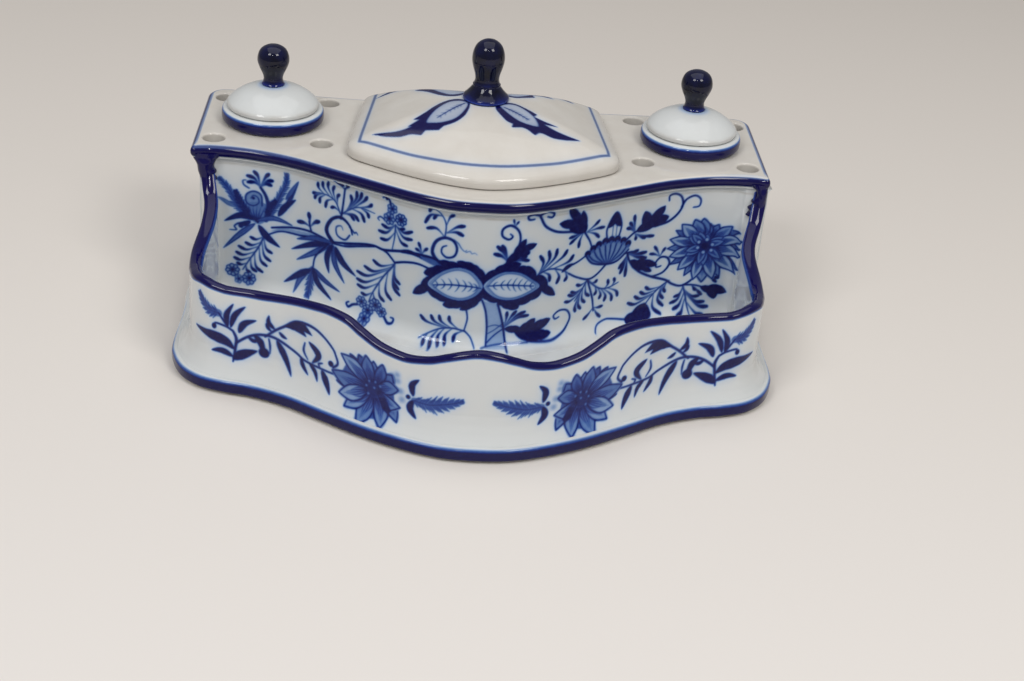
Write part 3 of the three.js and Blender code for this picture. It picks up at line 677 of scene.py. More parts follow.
# Hard-paste porcelain, glost fired: white body under a clear thick glaze.
# To the eye it is a soft white with sharp highlights, and the painting lies under the shine.
def porcelain(name, white, cobalt):
    material, tree, place = newMaterial(name)

    # Pooling: the wash is a little thicker here and thinner there
    pool = reckon(tree, "MULTIPLY_ADD", cloud(tree, place, glaze["poolSize"], 2.0), *glaze["poolGain"])
    wash = reckon(tree, "MULTIPLY", vertexValue(tree, "cobalt"), pool, clamp=True)
    painted = colourRamp(tree, wash, [(0.0, white)] + cobalt)

    # Grime and painted shade: a beige darkening in uneven patches, where hands and ink have been and where
    # shade is painted in creases
    grain = cloud(tree, place, glaze["darkeningSize"], 4.0)
    patches = reckon(tree, "MULTIPLY_ADD", grain, *glaze["darkeningGain"], clamp=True)
    darkenBy = reckon(tree, "MULTIPLY", vertexValue(tree, "grimeAndShade"), patches)
    darkenedColour = mixed(tree, darkenBy, painted, toLinear(glaze["darkening"]), "MULTIPLY")

    # Kiln specks: a small dark spot in about one cell of four
    cells = addNode(tree, "ShaderNodeTexVoronoi", {"Vector": place, "Scale": 1 / (glaze["speckGap"] * mm)})
    begin, end = glaze["speckEdge"]
    near = addNode(tree, "ShaderNodeMapRange", {
        "Value": cells.outputs["Distance"], "From Min": begin, "From Max": end, "To Min": 1.0, "To Max": 0.0,
    })
    chance = addNode(tree, "ShaderNodeSeparateColor", {"Color": cells.outputs["Color"]})
    chosen = reckon(tree, "GREATER_THAN", chance.outputs["Red"], glaze["speckLeft"])
    spot = reckon(tree, "MULTIPLY", near.outputs["Result"], chosen)
    spot = reckon(tree, "MULTIPLY", spot, glaze["speckTone"])

    # The glaze swells by a few hundredths of a millimetre, so reflections are not quite straight
    finishSurface(tree, (cloud(tree, place, glaze["waveSize"], 1.0), *glaze["wave"]), {
        "Base Color": mixed(tree, spot, darkenedColour, toLinear(glaze["speck"])),
        "Roughness": reckon(tree, "MULTIPLY_ADD", darkenBy, glaze["darkeningRoughness"], glaze["roughness"]),
        "IOR": glaze["ior"],
    })
    return material


# Cobalt oxide laid on solid under clear glaze: almost black, with blue where it runs thin
def cobaltGlaze(name):
    material, tree, place = newMaterial(name)
    grain = cloud(tree, place, 5.0, 3.0)
    runs = reckon(tree, "MULTIPLY_ADD", grain, 0.5, vertexValue(tree, "thin"))
    stops = [(0.2, "#06071c"), (0.42, "#0c1038"), (0.75, "#16246e"), (1.0, "#27469f")]
    finishSurface(tree, (grain, 0.3, 0.25), {
        "Base Color": colourRamp(tree, runs, stops), "Roughness": 0.06, "IOR": glaze["ior"],
    })
    return material


# Unglazed porcelain, fired bare and then dirtied by use: dry, matt and grey-brown
def biscuit(name):
    material, tree, place = newMaterial(name)
    stops = [(0.3, "#6b5f55"), (0.55, "#a39a90"), (0.75, "#c9c3bb")]
    finishSurface(tree, (cloud(tree, place, 0.4, 2.0), 0.4, 0.1), {
        "Base Color": colourRamp(tree, cloud(tree, place, 3.0, 6.0), stops), "Roughness": 0.85,
    })
    return material


# Painted light: one porcelain in two copies, the cream one tinted for the warm light on the deck and large
# lid, the cool one for the cooler front light on the other pieces
warmLitPorcelain = porcelain("porcelainWarmLit", "#cfcbc5", warmLitCobalt)
coolLitPorcelain = porcelain("porcelainCoolLit", "#cfd2d3", coolLitCobalt)
solidCobalt = cobaltGlaze("cobaltSolid")
bareFoot = biscuit("biscuitFoot")
print("finishes made")


# Body a piece rides with, its material slot, which is not used, and the nodes it replaces
def settle(piece, body, slot, *nodes):
    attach(piece, body)
    if nodes:
        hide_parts(*nodes)


# Smooth step from 0 to 1 as value goes from low to high
def ease(value, low, high):
    t = np.clip((value - low) / (high - low), 0, 1)
    return t * t * (3 - 2 * t)


# Slow unevenness of a hand-painted edge, in mm, along a length
def handShake(s, size):
    return size * (np.sin(s / 3.1) * 0.5 + np.sin(s / 7.7 + 1.3) + np.sin(s / 1.7 + 0.4) * 0.3)


# Foot

foot = {
    # Inset and height, from under the edge to over it
    "edge": [
        (3.4, 1.3), (1.1, 1.3), (0.35, 1.45), (0, 2.2), (0, 4.7), (0.28, 5.6), (0.85, 6.2), (1.7, 6.5),
        (2.6, 6.5),
    ],
    "spacing": 0.8,
    # Rings of the underside and of the top, as shares of the edge's ring
    "under": (0.03, 0.2, 0.4, 0.6, 0.8, 0.92),
    "over": (0.985, 0.95, 0.9, 0.8, 0.6, 0.4, 0.2, 0.03),
    # The painted band begins between two heights, then thins out: from, to, by how much
    "bandLow": (1.3, 1.6),
    "bandFade": ((4.9, 5.6, 0.35), (5.6, 6.1, 0.4)),
    "bandInset": (0.5, 1.3),
    # Along the sides it ends lower, so that from the front its edge does not show
    "sideX": (118, 119.6),
    "sideY": (-25, 0),
    "sideZ": (3.9, 4.7),
    "grimeAndShade": 0.12,
    "stepInset": 3.0,
    "stepWidth": 4.0,
    "stepRound": 0.35,
    "stepSpacing": 1.2,
}


# Rings of the rounded edge, then rings that shrink towards the middle of each face
def footPiece():
    profile = subdivided(smoothCurve(foot["edge"], 60), 0.35)
    stops = [(*profile[0], share) for share in foot["under"]] + [(*place, 1) for place in profile]
    stops += [(*profile[-1], share) for share in foot["over"]]
    grid = np.stack([atHeight(ringRound(footPath, d, foot["spacing"]) * share, z) for d, z, share in stops])
    inset, height, share = np.array(stops).T
    tones = ease(height, *foot["bandLow"]) * (share == 1)
    for low, high, loss in foot["bandFade"]:
        tones *= 1 - loss * ease(height, low, high)
    tones *= 1 - ease(inset, *foot["bandInset"]) * (height > 4)
    cobalt = np.repeat(tones[:, None], grid.shape[1], 1)
    x, y, z = np.moveaxis(grid, -1, 0)
    cobalt *= 1 - ease(np.abs(x), *foot["sideX"]) * ease(y, *foot["sideY"]) * ease(z, *foot["sideZ"])
    values = {"cobalt": cobalt, "grimeAndShade": foot["grimeAndShade"] + 0 * cobalt}
    return gridPiece("footPlate", grid, coolLitPorcelain, values)


settle(footPiece(), "stand", "body_glaze", "foot_plate")


# The step the foot stands on: a low band, its section a rounded rectangle
def stepPiece():
    outer, inner = foot["stepInset"], foot["stepInset"] + foot["stepWidth"]
    cut, top = foot["stepRound"], stand["stepHeight"] + 0.3
    section = [(outer, top), (outer, cut), (outer + cut, 0), (inner - cut, 0), (inner, cut), (inner, top)]
    rings = [
        atHeight(ringRound(footPath, d, foot["stepSpacing"]), z)
        for d, z in subdivided(np.array(section), 0.8)
    ]
    return gridPiece("footStep", np.stack(rings, 1), bareFoot, closeRows=True)


settle(stepPiece(), "stand", "body_glaze")
print("foot made")


# Low wall round the tray

wall = {
    "thickness": 4.0,
    "swell": 1.6,            # how much thicker the wings become
    "skirtInset": 2.2,
    "skirtFoot": 6.45,
    "skirtHeight": 10.85,
    "rimHeight": 1.7,
    "floorFillet": 3.0,
    "peak": 46.1,
    "dip": 37.3,
    "splitX": 98.0,
    "hollow": 42.6,
    "top": 66.2,
    "bandOut": 0.4,          # how far the painted rim comes down outside and inside
    "bandIn": 0.5,
    "shake": 0.1,            # unevenness of the painted rim
    "innerTone": 0.62,       # the rim's tone at the inner edge, where the glaze ran thin
    "intoCase": 2.6,         # wings run on into the case front by this
    "step": 0.34,
    "outerRows": 118,        # columns of points up the outside, over the top, down inside, in the fillet
    "rimRows": 24,
    "innerRows": 36,
    "filletRows": 9,
}
# Hollow flare of the walls' foot: share of its height, share of the way in
skirtShares = [(0, 0), (0.06, 0.14), (0.17, 0.33), (0.38, 0.62), (0.66, 0.86), (1, 1)]
gallerySwingShares = [
    (-0.07, 0.64), (0, 0.76), (0.07, 0.64), (0.14, 0.4), (0.2, 0.16), (0.27, 0.02), (0.33, 0.06),
    (0.4, 0.23), (0.47, 0.57), (0.53, 0.89), (0.6, 1), (0.67, 0.96), (0.75, 0.85), (0.87, 0.71), (1, 0.695),
    (1.1, 0.71),
]
wingRiseShares = [
    (0, 0.034), (0.15, 0.09), (0.28, 0.055), (0.42, 0), (0.55, 0.01), (0.68, 0.1), (0.8, 0.24),
    (0.9, 0.45), (0.965, 0.74), (1, 1),
]
# Inset of each wing's outer face in mm, front to back. The right one stands a little further out.
wingInsetShares = {
    -1: [(0, 5.5), (0.2, 5.9), (0.4, 7.2), (0.6, 6.7), (0.78, 7.9), (0.9, 8.4), (1, 6.2)],
    1: [(0, 5.5), (0.2, 6.3), (0.4, 7.5), (0.6, 7.0), (0.78, 7.3), (0.9, 5.2), (1, 2.8)],
}
wingSwellShares = [(0, 0), (0.5, 0.85), (1, 1)]
splitAt = footPath["where"]("x", wall["splitX"])
wingEnd = footPath["where"]("y", stand["cornerY"] + 3.0) - 0.3


# Value of a smoothed table of (place, value) at any places
def readTable(table, place):
    curve = smoothCurve(table, 400)
    return np.interp(place, curve[:, 0], curve[:, 1])


skirtCurve = smoothCurve(skirtShares, 80)


# Share of the way from the skirt's foot to the wall's face, at a height
def skirtReach(z):
    rise = (z - wall["skirtFoot"]) / wall["skirtHeight"]
    return np.interp(rise, skirtCurve[:, 0], skirtCurve[:, 1])


# Height of the low wall's top: the wavy front, then the hollow and S of the wings
def wallTopAt(s):
    far = np.abs(s)
    front = wall["dip"] + (wall["peak"] - wall["dip"]) * readTable(gallerySwingShares, far / splitAt)
    side = wall["hollow"] + (wall["top"] - wall["hollow"]) * readTable(wingRiseShares, wingShare(s))
    return np.where(far < splitAt, front, side)


# Share of the way along a wing, from the front to the case
def wingShare(s):
    return np.clip((np.abs(s) - splitAt) / (wingEnd - splitAt), 0, 1)


# How far the outer face stands in from the foot's outline
def wallInsetAt(s):
    left, right = (readTable(wingInsetShares[side], wingShare(s)) for side in (-1, 1))
    return np.where(s < 0, left, right)


# Thickness grows from the front to the case
def wallThicknessAt(s):
    return wall["thickness"] + wall["swell"] * readTable(wingSwellShares, wingShare(s))


# Section carried along the foot's outline: flared outer face, half-round top, inner face and
# a fillet to the floor. Heights follow the top; insets follow the wing.
def lowWall(name, s, canvas):
    top, inset = wallTopAt(s)[:, None], wallInsetAt(s)[:, None]
    slope = np.gradient(wallTopAt(s), s)[:, None]
    rim, under = wall["rimHeight"], stand["footTop"] - 0.5
    thick = wallThicknessAt(s)[:, None]
    zOuter = under + (top - rim - under) * np.linspace(0, 1, wall["outerRows"])[None]
    dOuter = wall["skirtInset"] + (inset - wall["skirtInset"]) * skirtReach(zOuter)
    turn = np.linspace(halfTurn, 0, wall["rimRows"])[None, 1:-1]
    dRim = inset + thick / 2 + np.cos(turn) * thick / 2
    zRim = top - rim + np.sin(turn) * rim + 0 * inset
    floor, fillet = stand["footTop"], wall["floorFillet"]
    zInner = top - rim + (floor + fillet - top + rim) * np.linspace(0, 1, wall["innerRows"])[None]
    dInner = inset + thick + 0 * zInner
    bend = np.linspace(0, halfTurn / 2, wall["filletRows"])[None, 1:]
    dFloor = inset + thick + fillet * (1 - np.cos(bend))
    zFloor = floor + fillet * (1 - np.sin(bend)) + 0 * inset
    sole = under + 0 * inset
    insets = np.concatenate([dOuter, dRim, dInner, dFloor, inset + thick + fillet, inset + thick / 2], 1)
    heights = np.concatenate([zOuter, zRim, zInner, zFloor, sole, sole], 1)
    # Drops are measured square to the sloping top
    flat = 1 / np.sqrt(1 + slope**2)
    drop, dropIn = (top - rim - zOuter) * flat, (top - rim - zInner) * flat
    lip = wall["bandOut"] + handShake(s, wall["shake"])[:, None]
    band = 1 - 0.5 * ease(drop, lip - 0.5, lip + 0.1) - 0.5 * ease(drop, lip, lip + 0.7)
    inner = wall["bandIn"] + handShake(s + 40, wall["shake"])[:, None]
    bandIn = wall["innerTone"] - 0.3 * ease(dropIn, inner - 0.5, inner)
    bandIn -= 0.32 * ease(dropIn, inner, inner + 0.5)
    tone, darkening = np.zeros(insets.shape), np.zeros(insets.shape)
    n, m = zOuter.shape[1], zRim.shape[1]
    painting = toneAt(canvas, -np.abs(np.repeat(s[:, None], n, 1)), zOuter)
    tone[:, :n] = np.maximum(painting, band)
    tone[:, n:n + m] = 1 - (1 - wall["innerTone"]) * ease(np.cos(turn), 0.62, 1)
    tone[:, n + m:n + m + wall["innerRows"]] = bandIn
    # Darker low on the inner face, in the fillet to the floor and underneath
    darkening[:, n + m + 24:] = 0.35
    grid = sweptGrid(footPath, s, insets, heights)
    return gridPiece(name, grid, coolLitPorcelain, {"cobalt": tone, "grimeAndShade": darkening})


# Painting on the left half of the low wall, in mm: u along the foot's outline from the middle,
# v up. The right half reads it mirrored.
def paintGallery():
    canvas = newCanvas(-140, 1, 5.0, 50.0)
    stroke, blade = brushSet(canvas, leafTone=0.96)
    stroke([(-103.9, 13), (-103.2, 18.2), (-102.7, 22.7), (-104.1, 25.9)], [0.7, 1.1, 1.2, 0.9])
    blade([(-104, 15), (-109, 16.6), (-114.1, 15.9)], 2.4)
    blade([(-104, 14.2), (-101.5, 15.7), (-98.4, 17.4), (-95.2, 18.9)], 3.9)
    blade([(-103.8, 18.3), (-107.2, 20.8), (-112.4, 22.2), (-118.4, 22.9), (-125, 23.9)], 4.4)
    stroke([(-104.1, 25.9), (-107.3, 27.3), (-111.8, 28), (-112.7, 26.6)], [0.9, 0.8, 0.8])
    dot(canvas, (-112.7, 26.6), 2.3)
    blade([(-106.6, 27.3), (-107, 32.5), (-103.9, 37.5)], 2.6)
    blade([(-105.2, 27.3), (-103.4, 32.6), (-99.3, 37)], 2.6)
    blade([(-101.6, 25.5), (-99.8, 29.6), (-95.5, 32)], 2.6)
    stroke([(-107.3, 28.2), (-110.5, 32.5)], [0.8, 0.8])
    feather(canvas, [(-110.5, 32.5), (-115, 33), (-119.5, 35.9), (-121.8, 39.1)], [4.4, 4.5, 3, 1.4])
    stroke([(-102.7, 20.9), (-98.2, 24.5), (-93.6, 26.4), (-87.7, 26.4), (-80, 23.2), (-75.5, 20.9),
        (-68.6, 20.2), (-62, 20)], [0.9, 1.1, 0.9, 0.8], [0.95, 0.8, 0.9, 0.8])
    stroke([(-95.8, 25.2), (-94, 23.4), (-93, 20.8), (-92.4, 18.8)], [1.2, 2.8, 2.1, 3.6], 0.96)
    dot(canvas, (-92.4, 18.9), 4.2, 0.96)
    blade([(-98.2, 24.2), (-96.2, 23), (-94.6, 24.6)], 1.6)
    stroke([(-90.5, 25.5), (-90, 22.5), (-90, 19.1)], [0.5, 0.8, 0.3])
    blade([(-88.2, 30.2), (-90.6, 32.4), (-90.5, 35.5)], 1.9)
    blade([(-91.6, 31.9), (-90.8, 30), (-89.4, 28.9)], 1.4)
    blade([(-86.4, 29.5), (-84.8, 28.1), (-83.2, 27.5)], 1.4)
    stroke([(-92, 26), (-87.7, 30), (-84.1, 32.7), (-80, 35.9), (-75.5, 36.6), (-70.9, 35.9), (-66.4, 33.6),
        (-62.7, 30.5), (-61.5, 28.6), (-60.3, 25), (-62.4, 22.7)], [0.8, 1.0, 1.1, 0.9, 0.8, 0.9])
    dot(canvas, (-63.5, 23.9), 2.4)
    fill(canvas, [(-84.5, 32.5), (-79.5, 36.1), (-75.5, 35.9), (-72.3, 32.5), (-76.4, 33.2), (-75, 31.1),
        (-80, 32.2)], 0.97)
    blade([(-87.3, 25.5), (-84.4, 20.4), (-80.9, 12.3)], 2.7)
    blade([(-73.9, 29.5), (-69.4, 25.4), (-72.3, 21.1)], 2.8)
    stroke([(-75.7, 28.6), (-76.2, 25), (-74.3, 21.8)], [0.5, 0.9, 0.4])
    blade([(-77.3, 21.8), (-76.4, 18.4), (-73.9, 15.2)], 1.8)
    blade([(-73.6, 20.5), (-71, 18), (-69.5, 14.1)], 1.9)
    stroke([(-67.5, 22.7), (-69.3, 21.8), (-68.6, 20.5)], [0.5, 0.8, 0.4])
    blade([(-67.7, 19.5), (-65.6, 15.8), (-63, 11.1)], 2.9)
    paintAster(canvas)
    blade([(-26.7, 22), (-27.4, 26.4), (-24.6, 29.3)], 2.7)
    blade([(-26.7, 20), (-27.8, 16.6), (-24.9, 13)], 2.9)
    dot(canvas, (-28.8, 21.1), 1.8)
    feather(canvas, [(-26.4, 20.2), (-20.5, 19.8), (-15.1, 20.9), (-9.6, 22.3), (-5.8, 23.6)],
        [3.2, 6.2, 5, 2.8, 1.0])
    return fired(canvas)


# Aster of the low wall: root shift, tip, width, pale and deep tone, bend; from the back to the front
asterPetals = [
    ((-3, -1), (-60.6, 17.9), 4.4, 0.6, 0.9, 0.0), ((-3, 3), (-54.8, 31.2), 5.0, 0.55, 0.8, 0.05),
    ((-2, 3), (-51.0, 32.2), 5.0, 0.5, 0.8, 0.0), ((2, 2), (-36.0, 28.2), 6.4, 0.34, 0.8, -0.1),
    ((2, 1), (-33.0, 22.6), 5.4, 0.3, 0.75, 0.08), ((0, 3), (-44.2, 31.6), 4.0, 0.3, 0.8, 0.0),
    ((1, 3), (-40.2, 31.4), 4.6, 0.4, 0.8, -0.06), ((-1, 3), (-47.8, 33.0), 5.2, 0.34, 0.8, 0.04),
    ((-3, 2), (-58.9, 30.0), 5.4, 0.16, 0.8, -0.05), ((-3, 0), (-62.8, 21.6), 6.4, 0.3, 0.9, 0.06),
    ((2, -3), (-38.6, 6.2), 5.8, 0.2, 0.85, 0.05), ((3, -2), (-32.4, 9.8), 4.6, 0.28, 0.9, 0.1),
    ((2, 0), (-31.8, 15.6), 5.0, 0.2, 0.85, -0.16), ((-1, -3), (-48.6, 5.2), 6.6, 0.24, 0.85, 0.0),
    ((-2, -2), (-55.8, 9.4), 6.0, 0.16, 0.8, 0.0), ((-3, -1), (-59.2, 13.6), 6.2, 0.12, 0.85, 0.04),
]


# Ragged flower head: layered petals round a dark heart with a few pale beads
def paintAster(canvas):
    heart = np.array([-43.6, 19.6])
    for place in ((-33.4, 26.6), (-32.0, 22.6), (-35.6, 28.2), (-33.8, 29.0), (-31.4, 19.2)):
        dot(canvas, place, 2.2, 0.3, soft=1.1)
    tips = sorted((petal[1] - heart for petal in asterPetals), key=lambda way: math.atan2(way[1], way[0]))
    fill(canvas, [heart + way * 0.78 for way in tips], 0.55, True)
    for shift, tip, width, pale, deep, bend in asterPetals:
        petal(canvas, heart + shift, tip, width, pale + 0.08, deep, 0.94, bend)
    fill(canvas, [(-41.6, 17.2), (-38.8, 12.8), (-36.6, 11.8), (-35.4, 13.2), (-38.4, 17.8)], 0.92)
    dot(canvas, heart, 5.4, 0.8)
    beads(canvas, heart, [(-3.4, 1.0), (-2.2, 3.2), (0.6, 3.6), (2.8, 2.4), (-2.4, -2.2), (0.2, 1.0)],
        (1.5, 0.92), (0.9, 0.3))


galleryPainting = paintGallery()
galleryStops = np.linspace(0, splitAt, int(splitAt / wall["step"]) + 1)
wingStops = np.linspace(splitAt, wingEnd + wall["intoCase"], 250)
for side, hand in ((-1, "Left"), (1, "Right")):
    half = lowWall("gallery" + hand, side * galleryStops, galleryPainting)
    settle(half, "stand", "body_glaze", "gallery_front")
    wing = lowWall("wing" + hand, side * wingStops, galleryPainting)
    settle(wing, "stand", "body_glaze", "wing_" + hand.lower())


# Modelled leaf scroll, solid blue, where each wing's top runs up under the deck's corner.
# Rows of ellipses: height, and how far from the middle their inner and outer edges lie.
scroll = {"y": 24.3, "half": 3.3, "tuck": 0.7, "rows": 60, "columns": 48}
scrollRows = {
    -1: [
        (55, 108.6, 113.2), (56.4, 108.2, 113.7), (57.8, 107.3, 114.1), (59.2, 108.2, 114.5),
        (60.8, 107.5, 115.0), (62.2, 108.3, 115.2), (63.6, 108.4, 115.4), (65, 108.0, 116.0),
        (66.3, 107.3, 116.8), (67.4, 106.2, 117.2), (69, 105.6, 117.6),
    ],
    1: [
        (55, 109.6, 115.2), (56.6, 110.7, 116.4), (58.2, 110.1, 116.9), (59.6, 111.6, 117.3),
        (61.2, 111.2, 117.5), (62.6, 112.4, 117.5), (64, 112.9, 117.5), (65.5, 112.6, 117.5),
        (66.5, 111.9, 117.5), (67.4, 110.6, 117.5), (69, 109.6, 117.6),
    ],
}


# Each row is an ellipse between its inner and outer edge
def wingScroll(name, side):
    z, inner, outer = smoothCurve(scrollRows[side], scroll["rows"]).T[:, :, None]
    turn = roundTurn(scroll["columns"])[None]
    deep = scroll["half"] - scroll["tuck"] * ease(z, 64.5, 67.5)
    x = side * (inner + outer + (outer - inner) * np.cos(turn)) / 2
    y = scroll["y"] + deep * np.sin(turn)
    grid = np.stack([x, y, z + 0 * turn], -1)
    return gridPiece(name, grid, coolLitPorcelain, {"cobalt": 1 + 0 * x, "grimeAndShade": 0 * x})


settle(wingScroll("scrollLeft", -1), "stand", "body_glaze")
settle(wingScroll("scrollRight", 1), "stand", "body_glaze")
print("low wall made")


# Case front

case = {
    "setback": 3.0,
    "thickness": 3.6,
    "floorFillet": 8.0,
    "topFillet": 1.9,
    "cove": 4.0,
    "holeHollow": 1.9,       # the wall is thinner by this behind the outer pen holes
    "inset": 4.7,
    "step": 0.3,
    "topSunk": 66.9,
    "wingInner": 12.0,       # from the foot's side to the wing's inner face
    "panelRows": 204,        # columns of points up the painted face, and down the back of it
    "backRows": 14,
}


# Circular fillet: how far a face leans out at a height z above its foot
def fillet(z, radius):
    return np.where(z < radius, radius - np.sqrt(np.clip(radius**2 - (radius - z) ** 2, 0, None)), 0)


# Serpentine panel: its face follows the deck's front edge, leans out into the tray's floor and
# to the deck, and turns forward where it meets a wing
def panelPiece(name, s, canvas):
    low, high = stand["footTop"] - 0.4, case["topSunk"]
    z = np.linspace(low, high, case["panelRows"])[None]
    out = fillet(np.maximum(z - stand["footTop"], 0), case["floorFillet"])
    out = np.maximum(out, fillet(np.maximum(stand["deckUnder"] - z, 0), case["topFillet"]))
    far = np.abs(deckFrontPath["at"](s, case["setback"])[0])[:, None]
    gap = np.clip(stand["halfWidth"] - case["wingInner"] - far, 0, None)
    cove = fillet(gap, case["cove"]) * (1 - 0.7 * ease(z, 48, 58))
    out = np.maximum(out, cove) + 0.25 * np.minimum(out, cove)
    hollow = case["holeHollow"] * ease(far, 101, 104.5)
    back = np.repeat(case["setback"] + case["thickness"] - hollow, case["backRows"], 1)
    zBack = np.linspace(high, low, case["backRows"])[None]
    n = case["panelRows"]
    insets = np.concatenate([case["setback"] - out, back], 1)
    heights = np.repeat(np.concatenate([z, zBack], 1), len(s), 0)
    tone, darkening = np.zeros(insets.shape), np.zeros(insets.shape)
    tone[:, :n] = toneAt(canvas, np.repeat(s[:, None], n, 1), np.repeat(z, len(s), 0))
    # Painted shade: a thin dark line in the crevice under the deck's overhang. The face is also darker where
    # it meets the tray's floor
    darkening[:, :n] = 0.5 * np.exp(-((z - 63.9) / 0.5) ** 2) + 0.3 * ease(-z, -9, -6.5)
    grid = sweptGrid(deckFrontPath, s, insets, heights)
    return gridPiece(name, grid, coolLitPorcelain, {"cobalt": tone, "grimeAndShade": darkening})


# Leaflets: one comma from a root to each tip, leaning the way the pair before it points
def leaflets(canvas, root, tips, lean=(0, 0), width=1.3, tone=0.95):
    for tip in tips:
        comma(canvas, root, tip, lean, width, tone)


# Line that curls in on itself, thinning as it goes
def curl(canvas, points, width=0.8, tone=0.85):
    brush(canvas, points, np.array([1, 1, 0.9, 0.75, 0.6]) * width, tone)


# Exotic flower at the left end, its leaves, fern and berries
def paintExotic(canvas):
    stroke, blade = brushSet(canvas)
    fill(canvas, [(-107, 44.4), (-104, 47.4), (-99.4, 48.6), (-95, 47), (-94.6, 44), (-97, 40.4),
        (-100, 38.5), (-104, 40.6)], 0.36, True)
    for lean in (-6, -4.2, -2.4, -0.6, 1.2, 3):
        stroke([(-100.4, 39.2), (-100.6 + lean * 0.6, 43), (-100 + lean, 47.4)], [0.9, 0.6, 0.25],
            [0.9, 0.74, 0.5])
    feather(canvas, [(-104.5, 42), (-108.4, 45.4), (-110.5, 50), (-113, 54), (-116, 57.5)],
        [2.6, 3.2, 2.6, 2.6, 1.2], 0.6)
    feather(canvas, [(-104, 42.5), (-107.4, 47.4), (-109.4, 52.4)], [2.6, 2.8, 1.0], 0.75)
    veinedLeaf(canvas, [(-109.4, 45), (-112.6, 46.6), (-116.5, 49.4)], 2.0, 0.4, 0.66)
    stroke([(-97, 41), (-96, 47), (-97, 51.6), (-99.2, 55)], [2.2, 1.5, 1.1], [0.7, 0.8, 0.85])
    ring = [(-98.6, 47), (-99, 51.6), (-102, 52.9), (-105, 51), (-105, 47.6), (-102.4, 46.4), (-100, 48),
        (-100.4, 50.4), (-102.2, 51), (-103.2, 49.6)]
    dot(canvas, (-102, 49.4), 6.6, 0.3)
    stroke(ring, [0.7, 0.7, 0.55, 0.5], 0.8)
    dot(canvas, (-102.2, 49.8), 1.3, 0.9)
    leaflets(canvas, (-99.4, 55.2), [(-104.6, 59.4), (-101.9, 61.6), (-95.8, 61.6), (-94.2, 58.9),
        (-94.8, 56.8), (-104.4, 56.6)], (0.2, 0.8), 1.5)
    curl(canvas, [(-104, 54), (-106, 55.2), (-106.4, 57), (-105.2, 57.4)], 0.7, 0.7)
    feather(canvas, [(-95.4, 43), (-92.8, 48.2), (-90.6, 53.6), (-88.2, 59), (-88.2, 63.4)],
        [2.2, 3.0, 2.9, 2.4, 1.5], 0.62)
    feather(canvas, [(-96.6, 43), (-95, 47.4), (-92.6, 50.6)], [2.4, 2.4, 1.0], 0.72)
    blade([(-91, 44), (-86.8, 51.8), (-82.8, 61)], 1.9, 0.76)
    veinedLeaf(canvas, [(-88.4, 52), (-85.6, 56.4), (-82.9, 61.2)], 2.0, 0.5, 0.8)
    blade([(-91.6, 43.8), (-88.6, 48.6), (-84, 52.8)], 2.9)
    blade([(-101.6, 40.2), (-107.2, 41.4), (-113.8, 38.2)], 3.0)
    blade([(-103.4, 39.2), (-106, 37.6), (-108.8, 37.6)], 2.4, 0.85)
    dot(canvas, (-107.2, 36.6), 2.0, 0.85)
    curl(canvas, [(-108.4, 37.6), (-109.8, 36.2), (-109, 34.6), (-111.7, 34.4)], 0.7, 0.75)
    veinedLeaf(canvas, [(-101.6, 38.4), (-107.6, 32.8), (-114.2, 25.8)], 2.5, 0.5, 0.88)
    veinedLeaf(canvas, [(-101, 39.8), (-93.6, 42.4), (-85.4, 41)], 2.3, 0.5, 0.85)
    fill(canvas, [(-95.4, 36.2), (-90, 39), (-82, 39.4), (-75, 39.9), (-70, 39.3), (-70, 38.4), (-76, 38.4),
        (-82, 37.4), (-90.4, 37.2)], 0.24)
    stroke([(-94.4, 38), (-86, 40), (-78, 40.6), (-70, 39.3)], [0.8, 0.9, 0.8], 0.9)
    stroke([(-96.4, 34.2), (-90.4, 37.2), (-82, 37.5), (-76, 38.4), (-70, 38.4)], [0.6, 0.8, 0.8], 0.85)
    blade([(-100, 38), (-96.4, 33.4), (-90.8, 29.8)], 3.3)
    fern(canvas, [(-97.5, 33.8), (-100, 28), (-103.5, 22), (-106.5, 16.5)], [(-103.2, 32), (-105.2, 29.2),
        (-108, 27.2), (-109, 24.4), (-109.8, 21.8), (-108.6, 19.4), (-94.4, 26.4), (-95, 22.6), (-96.6, 20),
        (-98.4, 16.8), (-101, 16.6), (-103.6, 15.8)], 1.35)
    berries(canvas, (-110.6, 16), 2.7, 8)
    berries(canvas, (-103.8, 13), 2.6, 8)
    berries(canvas, (-108, 12.2), 1.7, 5)
    stroke([(-76.6, 40.4), (-77.4, 42.9), (-77.8, 45)], [0.8, 0.7])
    leaflets(canvas, (-77.3, 42.6), [(-78, 48.4), (-82.7, 43.5), (-73.2, 46.2)], (0, 0.5), 1.7)


